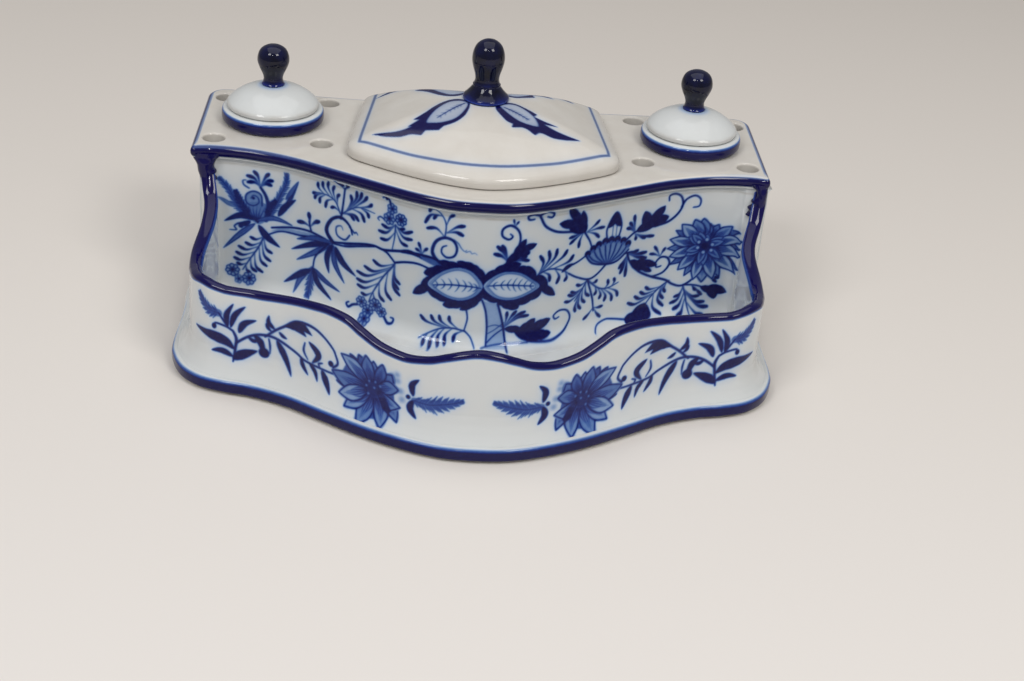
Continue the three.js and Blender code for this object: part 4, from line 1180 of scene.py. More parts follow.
# Fan of leaves below the first coil, and the coil with the sprays above it
def paintFan(canvas):
    stroke, blade = brushSet(canvas)
    veinedLeaf(canvas, [(-66.4, 38.4), (-75, 38.2), (-83.2, 35.6)], 2.7, 0.55, 0.86)
    blade([(-68, 37.6), (-76.4, 35), (-85.6, 30.4)], 2.7)
    veinedLeaf(canvas, [(-67.6, 37.4), (-75, 31.8), (-83.2, 26.2)], 2.6, 0.5, 0.86)
    stroke([(-68.4, 37.4), (-72.4, 33), (-74.8, 29.4), (-75.6, 24.6)], [0.9, 0.7, 0.6])
    veinedLeaf(canvas, [(-76, 24.6), (-81.4, 18), (-84.2, 11)], 2.4, 0.5, 0.8)
    feather(canvas, [(-76, 24.4), (-76.9, 17.4), (-77.8, 10.8)], [2.2, 3.4, 1.8], 0.6, 9)
    blade([(-76.8, 23.4), (-81.6, 20), (-88.8, 14.4)], 3.1)
    blade([(-75.6, 24.6), (-73, 18.2), (-66.2, 12.6)], 2.9)
    veinedLeaf(canvas, [(-75, 24.4), (-70, 20.6), (-62.4, 17.4)], 2.5, 0.62, 0.9)
    blade([(-66.4, 38), (-68.9, 31.4), (-67.8, 24.4)], 2.8)
    veinedLeaf(canvas, [(-65.9, 37.4), (-65, 29.6), (-60.3, 22)], 2.6, 0.55, 0.9)
    blade([(-65, 37.2), (-61.6, 31.4), (-55, 26.8)], 3.1)
    stroke([(-66.4, 39), (-69.5, 43.4), (-67.4, 48.6), (-62.8, 50.9), (-58.6, 48.4), (-57.2, 44.8)],
        [1.7, 1.6, 1.3, 1.3, 0.9, 0.6], 0.92)
    stroke([(-68.4, 41.6), (-69.2, 45), (-66.6, 49)], [0.6, 1.5, 0.6], 0.7)
    stroke([(-58.4, 44.2), (-60.6, 41.6), (-64.2, 42.6), (-64.8, 46), (-62.6, 47.2), (-61.6, 45.6)],
        [0.7, 0.75, 0.7, 0.5], [0.8, 0.75, 0.6, 0.4])
    curl(canvas, [(-58.6, 47.8), (-57, 46.6), (-56.2, 45.8), (-55.4, 46.4), (-54.6, 45.4)], 0.7, 0.75)
    stroke([(-62.8, 50.4), (-62, 56), (-61.2, 64)], [1.0, 0.8, 0.7])
    leaflets(canvas, (-61.2, 63.2), [(-65, 66.2), (-59.4, 65.9)], (0, 0.3), 1.5)
    dot(canvas, (-62.2, 65.2), 1.3)
    fern(canvas, [(-63.2, 52.6), (-65.4, 57), (-69, 58.8), (-73.6, 58.9)], [(-74, 63), (-71.7, 63.9),
        (-69, 64.6), (-66.2, 63.5), (-63.8, 60.6), (-76.2, 58), (-75.4, 56), (-73, 54.8), (-70.2, 53.6),
        (-67.4, 54)], 1.3, stalkWidth=0.6)
    fern(canvas, [(-62.4, 52.4), (-59.4, 55), (-54.4, 57.6), (-47, 57)], [(-58.4, 61.6), (-55.7, 63.9),
        (-53.4, 64), (-50.9, 63), (-48.6, 60.4), (-56.7, 51.6), (-54.6, 51.8), (-51.8, 52.2),
        (-49.8, 54.6)], 1.4, stalkWidth=0.6)


# Main stem, the long fern with grapes, the small flower above, and the second coil
def paintStem(canvas):
    stroke, _ = brushSet(canvas)
    fill(canvas, [(-62, 39.8), (-52, 42.2), (-46.8, 43), (-54, 40.6), (-60, 38.8)], 0.6)
    stroke([(-66, 39), (-60, 40.2), (-52, 42.2), (-46.8, 42.9), (-42, 42.4), (-34.4, 44), (-28, 44.6),
        (-20, 44.4), (-15, 42.8)], [0.8, 0.9, 1.0, 1.2, 0.9], 0.92)
    stroke([(-66, 38.4), (-60, 38.8), (-54, 40.6), (-46.8, 42.6)], [0.7, 0.8], 0.88)
    leaf(canvas, [(-36, 43.6), (-30, 44.6), (-24.6, 43.2)], 1.9, 0.92)
    fill(canvas, [(-24, 44.6), (-17, 43.2), (-14.4, 41.8), (-20, 41.4), (-26, 43)], 0.5)
    stroke([(-43.4, 42.4), (-40.6, 41.4), (-37, 38.2)], [0.9, 0.8])
    stroke([(-37, 38.2), (-32, 39.8), (-26, 40.4), (-19, 38.8)], [0.9, 0.9, 0.7])
    fern(canvas, [(-36.6, 38.4), (-38.6, 35.2), (-41.8, 30.8), (-45.2, 24.8), (-47.2, 20.6), (-48.4, 17)],
        [(-46.8, 36.4), (-50.8, 32.6), (-54.2, 29.4), (-54.2, 26), (-53.8, 23.4), (-51.8, 20.2),
        (-34.4, 29.4), (-34.8, 27), (-34.2, 24.4), (-38, 21.2), (-41.4, 19.6), (-44, 18.4)], 1.4)
    for place, radius, count in (
        ((-51.8, 16.2), 2.4, 7), ((-45.2, 16.6), 2.7, 8), ((-48.6, 13.2), 2.4, 7), ((-42.2, 14.4), 2.2, 7),
        ((-49.4, 9.8), 2.5, 7),
    ):
        berries(canvas, place, radius, count)
    curl(canvas, [(-53.8, 14.4), (-56, 13.6), (-57.8, 12.2), (-59, 13.4), (-57.8, 14.4)], 1.0)
    curl(canvas, [(-40.8, 12.6), (-38.8, 10.8), (-36.8, 11.2), (-36.4, 13), (-37.8, 13.2)], 1.0)
    berries(canvas, (-39.2, 61.2), 2.2, 6)
    berries(canvas, (-35, 57.4), 2.5, 8, 0.95)
    berries(canvas, (-40.4, 56.6), 2.5, 7)
    dot(canvas, (-41.8, 65), 1.5)
    curl(canvas, [(-40, 62.6), (-40.6, 64.6), (-42.4, 65.6), (-43.6, 64.8)], 0.9)
    curl(canvas, [(-42.6, 55.6), (-44.4, 56.4), (-45.6, 55.4), (-44.8, 54.6)], 0.7, 0.7)
    fern(canvas, [(-37.4, 54.8), (-37.6, 49.2), (-38.6, 43)], [(-43.4, 53.2), (-44.8, 50.2), (-43.8, 47),
        (-33.4, 54), (-29.8, 53.6), (-29.8, 50.2), (-31.8, 47)], 1.35, stalkWidth=0.6)
    leaflets(canvas, (-25, 45.2), [(-26.6, 49.6), (-22.8, 48), (-27.6, 46.8)], (0, 0.3), 1.2)
    stroke([(-17, 43), (-20.4, 46.6), (-19.4, 51.6), (-15.8, 54.2), (-11.8, 53.6), (-9.9, 50.4),
        (-10.8, 47), (-14, 45.9), (-16.4, 47.6), (-16.2, 50), (-14.4, 51)], [1.4, 1.3, 1.1, 0.9, 0.7, 0.5],
        0.86)
    stroke([(-19, 45.4), (-20.6, 48.6), (-18.6, 53)], [0.4, 1.2, 0.4], 0.6)
    curl(canvas, [(-11.4, 54), (-9.4, 52.6), (-8, 50.6), (-6.6, 49.4), (-5.8, 50)], 0.55, 0.55)
    curl(canvas, [(-6, 49), (-4.4, 49.6), (-3.6, 48.6), (-2.4, 49), (-1.4, 48.2)], 0.5, 0.45)
    fern(canvas, [(-15.4, 54.4), (-15.2, 60), (-17.4, 64), (-21, 66.2)], [(-24.2, 59.2), (-23.2, 56.9),
        (-20.6, 61.6), (-22.6, 64.4), (-12, 64.4)], 1.35, stalkWidth=0.6)
    leaflets(canvas, (-14.8, 56.4), [(-7.4, 60.2), (-7.8, 56.2)], (0.3, 0.6), 1.5)


# Pale heart of each great leaf: its rim and its vein
twinHearts = {
    -1: (
        [(-21.8, 33), (-16.8, 38.6), (-10, 41.9), (-4, 41.2), (0.2, 37.4), (1.6, 34), (-1.2, 30), (-6, 27.8),
         (-11.6, 28), (-17.2, 29.9)],
        [(-19.4, 32.8), (-12, 34.2), (-4, 34.2), (1, 33.6)],
    ),
    1: (
        [(2, 34.4), (5.2, 38.6), (10.6, 41.2), (17.4, 40.4), (22.8, 37), (26.6, 33.4), (21.6, 30.4),
         (14.6, 28.6), (7, 29.8)],
        [(3.6, 34.8), (11, 35.4), (17.6, 34.8), (24, 33.8)],
    ),
}


# Pair of great serrated leaves, their trunk and what grows from its foot
def paintTwins(canvas):
    stroke, _ = brushSet(canvas)
    raggedLeaf(canvas, [(0, 42.4), (-2.4, 44), (-6, 44.9), (-9.6, 44.8), (-8.4, 43.4), (-12.8, 44.4),
        (-17.4, 43.8), (-15.6, 42), (-20, 40.6), (-23.8, 37.2), (-21.6, 36.2), (-24.8, 31.8), (-28.2, 26.8),
        (-21.6, 29.6), (-17.6, 27), (-13.6, 26.4), (-14.6, 24.6), (-10, 24), (-6.4, 25), (-7, 23.4),
        (-2.4, 24.6), (0.6, 27.6), (2, 30), (2.2, 40)])
    raggedLeaf(canvas, [(2.4, 39.6), (6, 42.2), (9.4, 44.4), (12.8, 45.4), (17.4, 44.6), (16.4, 43.2),
        (19.8, 43.2), (22.8, 42), (24.8, 38.4), (28, 37.8), (30.4, 33.2), (34.4, 28), (27.6, 31.2),
        (27.2, 29.4), (23.2, 27.6), (18, 26), (17.4, 24.4), (13, 24.6), (10, 26.2), (8, 27.6), (3.6, 28.6),
        (1.6, 30)])
    for side, (rim, vein) in twinHearts.items():
        fill(canvas, rim, 0.05, True, lift=True)
        closed, middle = np.array(rim + rim[:1]), np.mean(rim, 0)
        stroke(closed * 0.86 + middle * 0.14, [0.34, 0.34], 0.6)
        stroke(closed * 0.93 + middle * 0.07, [0.9, 0.9], 0.3)
        stroke(vein, [0.4, 0.6, 0.4], 0.85)
        line = smoothCurve(vein, 9)
        for k in range(1, 8):
            for up in (-1, 1):
                end = line[k] + [1.9 * side, up * 3.1 * (1 - abs(k - 4) / 7)]
                stroke([line[k], (line[k] + end) / 2 + [0, up * 0.4], end], [0.45, 0.35, 0.2],
                    [0.85, 0.7, 0.5])
    fill(canvas, [(2, 28), (3.8, 23), (4.6, 16), (4.4, 8), (12.6, 8), (12, 14), (10.4, 20.8), (8.2, 27)], 0.2)
    stroke([(1.8, 28.4), (3.6, 23.2), (4.5, 16), (4.4, 9)], [0.7, 0.8, 0.6])
    stroke([(8.4, 27), (10.4, 20.8), (12, 14), (12.8, 7.4)], [0.9, 1.0, 0.7])
    stroke([(4.8, 10), (8, 13), (12, 16)], [0.5, 0.6], 0.8)
    stroke([(5, 16.6), (8, 17.4), (11.4, 16.4)], [0.4, 0.5], 0.7)
    stroke([(5, 13.4), (8, 15.4), (11.6, 18.4)], [0.4, 0.5], 0.7)
    stroke([(-4.4, 24), (-3.7, 19.6), (-4.8, 14)], [0.6, 0.5])
    fern(canvas, [(-4.4, 14), (-10, 14.9), (-16, 13.6), (-23.6, 9)], [(-24, 18), (-19.4, 19), (-15.8, 19.6),
        (-11.4, 19.9), (-21, 7.6), (-18, 7.2), (-15, 8), (-12.4, 8.6), (-9, 10)], 1.4)
    stroke([(-4.4, 14), (-2, 11.6), (-0.2, 8)], [0.6, 0.4])
    leaflets(canvas, (12, 16.4), [(12.8, 23), (16.8, 23.2), (20.8, 22.6), (22.4, 20.8)], (0.2, 0.6), 1.4)
    raggedLeaf(canvas, [(12, 15.6), (16, 16.8), (19.2, 15.6), (22, 17.6), (25.8, 19), (25.6, 16.6),
        (29.4, 17.9), (33.2, 17.6), (28, 13.2), (30.8, 12.8), (33.6, 11.4), (27.2, 9.6), (22.4, 9.8),
        (16.8, 13.6)])
    stroke([(22.4, 9.8), (28, 9), (34, 9), (40, 11.4), (42.6, 16), (41, 19.8), (37.4, 20.6), (34.6, 18.8),
        (35.4, 17), (37.2, 17.6)], [0.7, 0.8, 0.8, 0.6], 0.85)
    stroke([(2.4, 8.2), (10, 9.6), (22.4, 9.4)], [0.5, 0.5], 0.75)
    stroke([(12.6, 46), (16, 53.4), (15.4, 58.6), (11.8, 61.4), (8.4, 60), (8.2, 57), (11, 55.4),
        (12.7, 56.6), (11.5, 57.8)], [0.7, 0.9, 1.0, 0.9, 0.8, 0.5])
    leaflets(canvas, (13.4, 60.8), [(12.6, 63.8), (14.8, 62.9)], (0, 0.2), 0.9)
    raggedLeaf(canvas, [(10.4, 44.6), (13.6, 49.6), (16, 53.2), (18.8, 55.2), (18.6, 52.4), (23.8, 52.6),
        (20.6, 50), (21, 48.6), (17, 47.6), (13.4, 45.6)])
    leaflets(canvas, (11.4, 45.6), [(6.6, 52.2), (5.6, 49), (8.6, 52.6)], (0.1, 0.5), 1.6)
    leaflets(canvas, (13.6, 45.8), [(20.6, 45.6), (19.4, 47.4)], (0.4, 0.2), 1.4)


# Scroll, maple leaves and the shell flower right of the middle
def paintShell(canvas):
    stroke, _ = brushSet(canvas)
    stroke([(46, 54.8), (38, 55.6), (32, 56.8), (27.2, 59.6), (24.8, 63.4), (24, 65)], [0.7, 1.0, 1.0, 1.0])
    curl(canvas, [(24, 64.8), (21.4, 65.6), (19, 65), (19.5, 63.4), (21.8, 63.4)], 1.1)
    curl(canvas, [(24.4, 65), (27.6, 66.2), (30.4, 64.8), (29.6, 63.3), (27.6, 63.8)], 1.1)
    raggedLeaf(canvas, [(46.4, 54.2), (46.6, 58), (44.2, 64), (43.4, 61), (42, 63.8), (37.4, 66.2),
        (39.8, 60.6), (33.2, 60), (38.2, 57), (40, 55)])
    stroke([(45, 55.4), (46.6, 53), (48.6, 50), (50, 46.8)], [0.8, 0.8, 0.6])
    leaflets(canvas, (45.4, 54.4), [(39, 52.8), (39.4, 50.2), (43.6, 48)], (-0.4, -0.2), 1.3)
    leaflets(canvas, (46.8, 54), [(52.4, 58.2), (55, 54.8), (53, 50.8)], (0.5, 0.2), 1.3)
    fern(canvas, [(25.6, 38.8), (30.4, 40.4), (36, 39.2), (40.4, 36.6)], [(25.8, 46.8), (29.6, 48.4),
        (33.4, 48.6), (38.2, 47.4), (41.4, 44.6), (31, 35.2), (34.6, 33.6), (38.4, 34)], 1.45)
    stroke([(40, 36.8), (44, 34.4), (49.6, 32.4), (53.6, 33.6), (58, 37.6)], [0.7, 0.8, 0.8])
    leaf(canvas, [(36.6, 38), (39.4, 40), (42.4, 40.9)], 1.9, 0.9)
    stroke([(41.8, 40.6), (44.4, 41.6), (47.6, 43.4)], [0.8, 0.6])
    fill(canvas, [(47.2, 43.6), (49.4, 40.6), (53, 38.4), (58.2, 37.6), (63, 38.2), (67.4, 41.4),
        (69.4, 44), (66, 47), (59, 48.8), (52, 47)], 0.28)
    ribs = [(48.4, 44), (50.8, 46), (53.4, 47.3), (56.5, 48.2), (59.4, 48.4), (62.4, 48.1), (65.4, 47),
        (68, 45.2)]
    for k, tip in enumerate(ribs):
        root = (58.4 + (k - 3.5) * 0.5, 38.2)
        bend = (np.array(root) + tip) / 2 + np.array([(k - 3.5) * 0.3, -0.5])
        stroke([root, bend, tip], [0.5, 0.8, 0.6], [0.7, 0.75, 0.85])
        dot(canvas, tip, 3.3 - abs(k - 3.5) * 0.1, 0.96)
        dot(canvas, (tip[0], tip[1] - 1.1), 1.4, 0.5, lift=True)
    stroke([(47.2, 43.8), (51, 39.4), (58, 37.7), (63.4, 38.2), (68.6, 42.4)], [0.7, 0.9, 0.7], 0.88)
    stroke([(57.2, 49.2), (56.8, 54), (60.6, 60.4), (63.6, 54.8), (62.8, 49)], [0.7, 0.8, 0.7], 0.85)
    raggedLeaf(canvas, [(57.2, 54), (58.4, 57.8), (60.7, 60.4), (63, 56.6), (63.4, 53.8), (60.4, 55.4)])
    stroke([(59.6, 49.6), (59.6, 54.6)], [0.4, 0.4], 0.6)
    stroke([(61.4, 49.6), (61.4, 54.6)], [0.4, 0.4], 0.6)


# Right branch above the shell: maple leaf and double coil; below it the root sprays
def paintBranch(canvas):
    stroke, _ = brushSet(canvas)
    stroke([(66.4, 46.6), (70.6, 49.6), (75, 50.6), (79.6, 50.8), (86, 51.8), (90.2, 54.8), (92.2, 58.8),
        (91.2, 62.6), (88.4, 64.2), (85.8, 63.6), (85.8, 61.4)], [0.8, 0.9, 1.0, 0.9, 0.8, 0.6])
    curl(canvas, [(91.8, 58), (93.6, 61.2), (97.2, 62.6), (99.8, 60.8), (99.6, 57.8), (97, 57.3)], 0.9)
    leaflets(canvas, (70.8, 49.6), [(69.8, 57.2), (67.9, 54.4), (66.8, 52.2)], (-0.1, 0.6), 1.5)
    leaflets(canvas, (71, 49), [(71.6, 46.4), (76.2, 46.2), (80.2, 46.4)], (0.3, -0.3), 1.4)
    raggedLeaf(canvas, [(71.4, 49.8), (74, 52.8), (74.8, 58.4), (78.4, 55.8), (84.4, 59.4), (83.2, 55.4),
        (86.6, 54.2), (83.8, 51.4), (79.6, 50.4)])
    stroke([(66.6, 40.8), (70, 41), (72.8, 40.8)], [0.8, 0.6])
    leaflets(canvas, (68.4, 40.4), [(73.4, 41), (77.6, 39.4), (77.8, 36.8), (64.8, 34.6), (65.6, 32.2),
        (68.2, 30.4)], (0, -0.2), 1.5)
    stroke([(68.2, 40.6), (69.4, 37.4), (71.6, 34)], [0.9, 0.8])
    raggedLeaf(canvas, [(69.8, 37), (73.6, 36.4), (77.6, 36), (83.8, 32.4), (78, 32.8), (81.6, 29.8),
        (76.8, 31.2), (72, 33.8)])
    stroke([(79, 28.6), (82, 27.5), (86.8, 28.6), (89.4, 32.2), (88.1, 35.2), (85.1, 35.8), (83, 33.7),
        (83.5, 31.5), (85.6, 31.7)], [0.6, 0.9, 0.8, 0.6])
    leaflets(canvas, (84.6, 36.2), [(81.6, 41.2), (79.8, 38.2), (86.6, 39.8)], (0, 0.3), 1.2)
    stroke([(71.6, 34), (76, 30.4), (82, 27.2), (88.4, 24.8), (92, 22.4), (96, 21.2), (100, 23.2),
        (101.8, 26)], [0.9, 1.0, 0.9, 0.8])
    leaflets(canvas, (107, 25), [(110.8, 22.4), (111.6, 24.2)], (0.3, 0), 1.4)
    stroke([(97.6, 21.4), (102, 21), (106.4, 19.6)], [0.7, 0.7])
    raggedLeaf(canvas, [(104.6, 20), (108, 20.4), (112.4, 20.8), (115.8, 17.8), (112.2, 16.6), (111, 14.2),
        (107.6, 17.2)])
    leaflets(canvas, (100.4, 21.6), [(102.6, 18.6), (105.4, 16.4)], (0.3, -0.3), 1.3)
    fern(canvas, [(97, 21), (98.8, 15.4), (100.4, 7.8)], [(93.8, 16.2), (92.2, 13.4), (93.4, 10.8),
        (94.6, 8.2), (104.4, 15.8), (106.8, 13), (108.4, 11), (106, 8.2)], 1.4)
    fern(canvas, [(90.2, 24.2), (86, 21.4), (82.4, 17.6), (80, 14.2)], [(79.6, 22.8), (77.2, 21),
        (74.6, 19.4), (71.4, 17), (89, 19.2), (88.4, 16.2), (88.6, 12.8), (87.2, 9.8)], 1.4)
    raggedLeaf(canvas, [(69.6, 10.4), (74, 12.2), (80, 15.4), (82.8, 10), (80.6, 8.6), (70, 8.4)])
    stroke([(54, 8), (56, 10.6), (60, 11.9), (62.8, 11.7), (70, 10.2)], [0.5, 0.7], 0.85)
    fern(canvas, [(49.4, 32.2), (47.2, 28), (44.2, 23.4)], [(44.6, 30.8), (42.2, 28), (41, 26.8),
        (39.6, 24), (51, 24.6), (49.2, 22), (47.4, 19.4), (45, 18.6)], 1.35)
    fern(canvas, [(49.8, 31.8), (55.2, 27.4), (60, 26.4), (65.2, 28)], [(54.2, 31), (59.8, 30),
        (62.8, 30.2), (53.8, 24.6), (56.4, 22.4), (59, 20.8), (62.6, 20.2), (65.4, 21.8)], 1.35)
    stroke([(49.8, 31.4), (52.8, 23.2), (54, 17)], [0.8, 0.8, 0.6])
    leaflets(canvas, (53.8, 18.6), [(49.6, 14), (57.6, 13.6), (58.2, 18.4)], (0, -0.3), 1.3)


# Great aster: tip, width, pale and deep tone, from the back to the front
greatAsterPetals = [
    ((90.6, 47.4), 2.6, 0.7, 0.9), ((87.6, 39.4), 2.8, 0.5, 0.8), ((89.8, 31.8), 2.6, 0.7, 0.9),
    ((96.8, 25.8), 2.8, 0.5, 0.85), ((118.4, 30.0), 2.6, 0.7, 0.9), ((118.2, 39.5), 2.6, 0.7, 0.9),
    ((117.4, 46.8), 2.6, 0.7, 0.9),
    ((109.0, 49.0), 3.2, 0.6, 0.9), ((105.4, 49.4), 3.0, 0.6, 0.9), ((102.4, 51.9), 4.2, 0.48, 0.85),
    ((98.6, 51.6), 4.4, 0.46, 0.85), ((111.9, 24.8), 3.2, 0.45, 0.8), ((104.8, 22.2), 5.0, 0.4, 0.8),
    ((114.6, 48.2), 4.0, 0.42, 0.85), ((93.0, 49.9), 4.4, 0.24, 0.8), ((88.3, 43.5), 3.8, 0.22, 0.8),
    ((89.0, 35.5), 3.8, 0.22, 0.8), ((93.6, 28.9), 4.0, 0.26, 0.8), ((101.0, 23.6), 3.8, 0.22, 0.8),
    ((109.2, 23.6), 4.2, 0.22, 0.8), ((117.4, 27.9), 4.4, 0.22, 0.8), ((118.6, 36.2), 4.4, 0.22, 0.8),
    ((118.6, 43.2), 3.8, 0.22, 0.8),
]


# Two rows of petals, the inner one short, round a beaded heart
def paintGreatAster(canvas):
    heart = np.array([104.2, 39.2])
    dot(canvas, heart, 20.0, 0.58)
    for tip, width, pale, deep in greatAsterPetals:
        ahead = (tip - heart) / np.linalg.norm(tip - heart)
        petal(canvas, heart + ahead * 4.0, tip, width * 1.16, pale * 0.7, deep * 0.9, 0.9)
    for tip, width, pale, deep in greatAsterPetals[::2]:
        petal(canvas, heart, heart + (tip - heart) * 0.56, 3.2, 0.3, 0.8, 0.86)
    dot(canvas, heart, 6.0, 0.78)
    beads(canvas, heart, [(0.6, 2.9), (3.1, 0.5), (2.9, -2.1), (-0.3, -2.9), (-2.9, -0.7), (-2.7, 1.9)],
        (2.0, 0.9), (1.3, 0.12))
    dot(canvas, heart, 3.0, 0.98)


# Painting of the case's front, in mm: u along the deck's front edge, v up
def paintPanel():
    canvas = newCanvas(-121, 121, 5, 69)
    for part in (paintExotic, paintFan, paintStem, paintTwins, paintShell, paintBranch, paintGreatAster):
        part(canvas)
    return fired(canvas)


panelPainting = paintPanel()
panelEnd = deckFrontPath["where"]("x", 112.6)
panelStops = np.linspace(0, panelEnd, int(panelEnd / case["step"]) + 1)
for side, hand in ((-1, "Left"), (1, "Right")):
    half = panelPiece("casePanel" + hand, side * panelStops, panelPainting)
    settle(half, "stand", "body_glaze", "case_panel")
print("case front made")


shell = {
    "overlap": 1.2,          # with the wings' ends
    "blend": 14.0,           # over which the face comes from the wing's to the case's inset
    "topFillet": 1.4,
    "floorFillet": 3.0,
    "hollowReach": 6.5,      # of the thinner places behind the pen holes
}


# Sides and back of the case: one wall carried round the foot's outline from wing to wing
def caseShell():
    right = np.linspace(wingEnd - shell["overlap"], footPath["total"], 330)
    s = np.concatenate([right, -right[-2::-1]])
    far = np.abs(s)[:, None]
    under, high = stand["footTop"] - 0.5, case["topSunk"]
    z = np.linspace(under, high, 90)[None]
    atWing = wallInsetAt(np.sign(s) * wingEnd)[:, None]
    inset = case["inset"] + (atWing - case["inset"]) * (1 - ease(far, wingEnd, wingEnd + shell["blend"]))
    lean = fillet(np.maximum(stand["deckUnder"] - z, 0), shell["topFillet"])
    dOut = wall["skirtInset"] + (inset - wall["skirtInset"]) * skirtReach(z) - lean
    x, y = footPath["at"](s, 0)
    away = np.min([np.abs(y - deck["potY"] - side * deck["penSpan"][1]) for side in (-1, 1)], 0)
    nearHole = np.exp(-(away / shell["hollowReach"]) ** 4) * (np.abs(x) > 100)
    thick = case["thickness"] - case["holeHollow"] * nearHole[:, None]
    inner, radius = inset + thick, shell["floorFillet"]
    zIn = np.linspace(high, stand["footTop"] + radius, 16)[None]
    bend = np.linspace(0, halfTurn / 2, 7)[None, 1:]
    dFloor = inner + radius * (1 - np.cos(bend))
    zFloor = stand["footTop"] + radius * (1 - np.sin(bend))
    insets = np.concatenate([dOut, inner + 0 * zIn, dFloor, inner + radius, inset + thick / 2], 1)
    heights = np.repeat(np.concatenate([z, zIn, zFloor, [[under, under]]], 1), len(s), 0)
    tone, darkening = np.zeros(insets.shape), np.zeros(insets.shape)
    # Darker low on the outer face, just above the foot
    darkening[:, :12] = 0.3
    grid = sweptGrid(footPath, s, insets, heights)
    return gridPiece("caseShell", grid, coolLitPorcelain, {"cobalt": tone, "grimeAndShade": darkening})


settle(caseShell(), "stand", "body_glaze", "case_side_left", "case_side_right", "case_back")
for hand in ("left", "right"):
    for k in range(len(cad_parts["divider_" + hand].material_slots)):
        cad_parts["divider_" + hand].material_slots[k].material = coolLitPorcelain
print("case made")


# Deck

deckFinish = {
    "lip": 0.9,              # rounding of each opening's edges
    "spacing": 0.7,          # between the points of the outline and of the mouth
    "mouthSpacing": 1.0,
    "boreCount": 160,        # points round a bore and round a pen hole
    "penCount": 72,
    "holeRings": (0.7, 1.6, 3.0, 5.0),       # loose points stand in rings this far round the openings
    "mouthRings": (3.5, 5.2, 6.6, 8.5),
    "grimeAndShade": 0.16,           # all over the top, then round pen holes and bores
    "penGrime": 0.2,
    "boreGrime": 0.3,
    "grimeReach": 1.8,
}


# Bores and pen holes: centre, radius and number of points
def deckHoles():
    holes = []
    for side in (-1, 1):
        centre = np.array([side * deck["potX"], deck["potY"]])
        holes.append((centre, deck["boreRadius"], deckFinish["boreCount"]))
        for way in ((-1, -1), (-1, 1), (1, -1), (1, 1)):
            place = centre + np.multiply(way, deck["penSpan"])
            holes.append((place, deck["penRadius"], deckFinish["penCount"]))
    return holes


# Triangles between the outline and the openings, through the loose points. Also returns which
# points each loop became.
def flatFace(loops, loose):
    starts = np.cumsum([0] + [len(loop) for loop in loops])
    edges = [
        (int(start) + k, int(start) + (k + 1) % len(loop))
        for start, loop in zip(starts, loops) for k in range(len(loop))
    ]
    points = np.concatenate(loops + [loose])
    made = delaunay_2d_cdt([tuple(p) for p in points], edges, [], 0, 1e-5)
    flat, faces = (np.array([tuple(row) for row in made[k]]) for k in (0, 2))
    index = {old: new for new, group in enumerate(made[3]) for old in group}
    centres = flat[faces].mean(1)
    good = insideLoop(loops[0], *centres.T)
    for loop in loops[1:]:
        good &= ~insideLoop(loop, *centres.T)
    faces = faces[good]
    area = np.cross(flat[faces[:, 1]] - flat[faces[:, 0]], flat[faces[:, 2]] - flat[faces[:, 0]])
    faces[area < 0] = faces[area < 0][:, ::-1]
    rows = [np.array([index[start + k] for k in range(len(loop))]) for start, loop in zip(starts, loops)]
    return flat, faces, rows


# Painted edge: a band along the front, a thin line near the top along the sides and back
def deckEdgeTone(x, y, z):
    under, down = z - stand["deckUnder"], stand["deckTop"] - z
    front = 1 - ease(y, stand["cornerY"] + 1, stand["cornerY"] + 9)
    # The band starts further down towards the middle, and its pale upper fringe is widest at the left
    start = 0.25 + 0.4 * ease(x, -90, 30)
    fringe = 0.4 + 0.7 * ease(-x, 20, 100) + 0.2 * ease(x, 50, 100)
    wide = ease(under, 0.8, 1.4) * (1 - 0.3 * ease(down, start + fringe, start + fringe - 0.4))
    wide *= ease(down, start - 0.25, start + 0.15)
    thin = 0.95 * np.exp(-((0.75 - down) / 0.7) ** 2)
    return front * wide + (1 - front) * thin


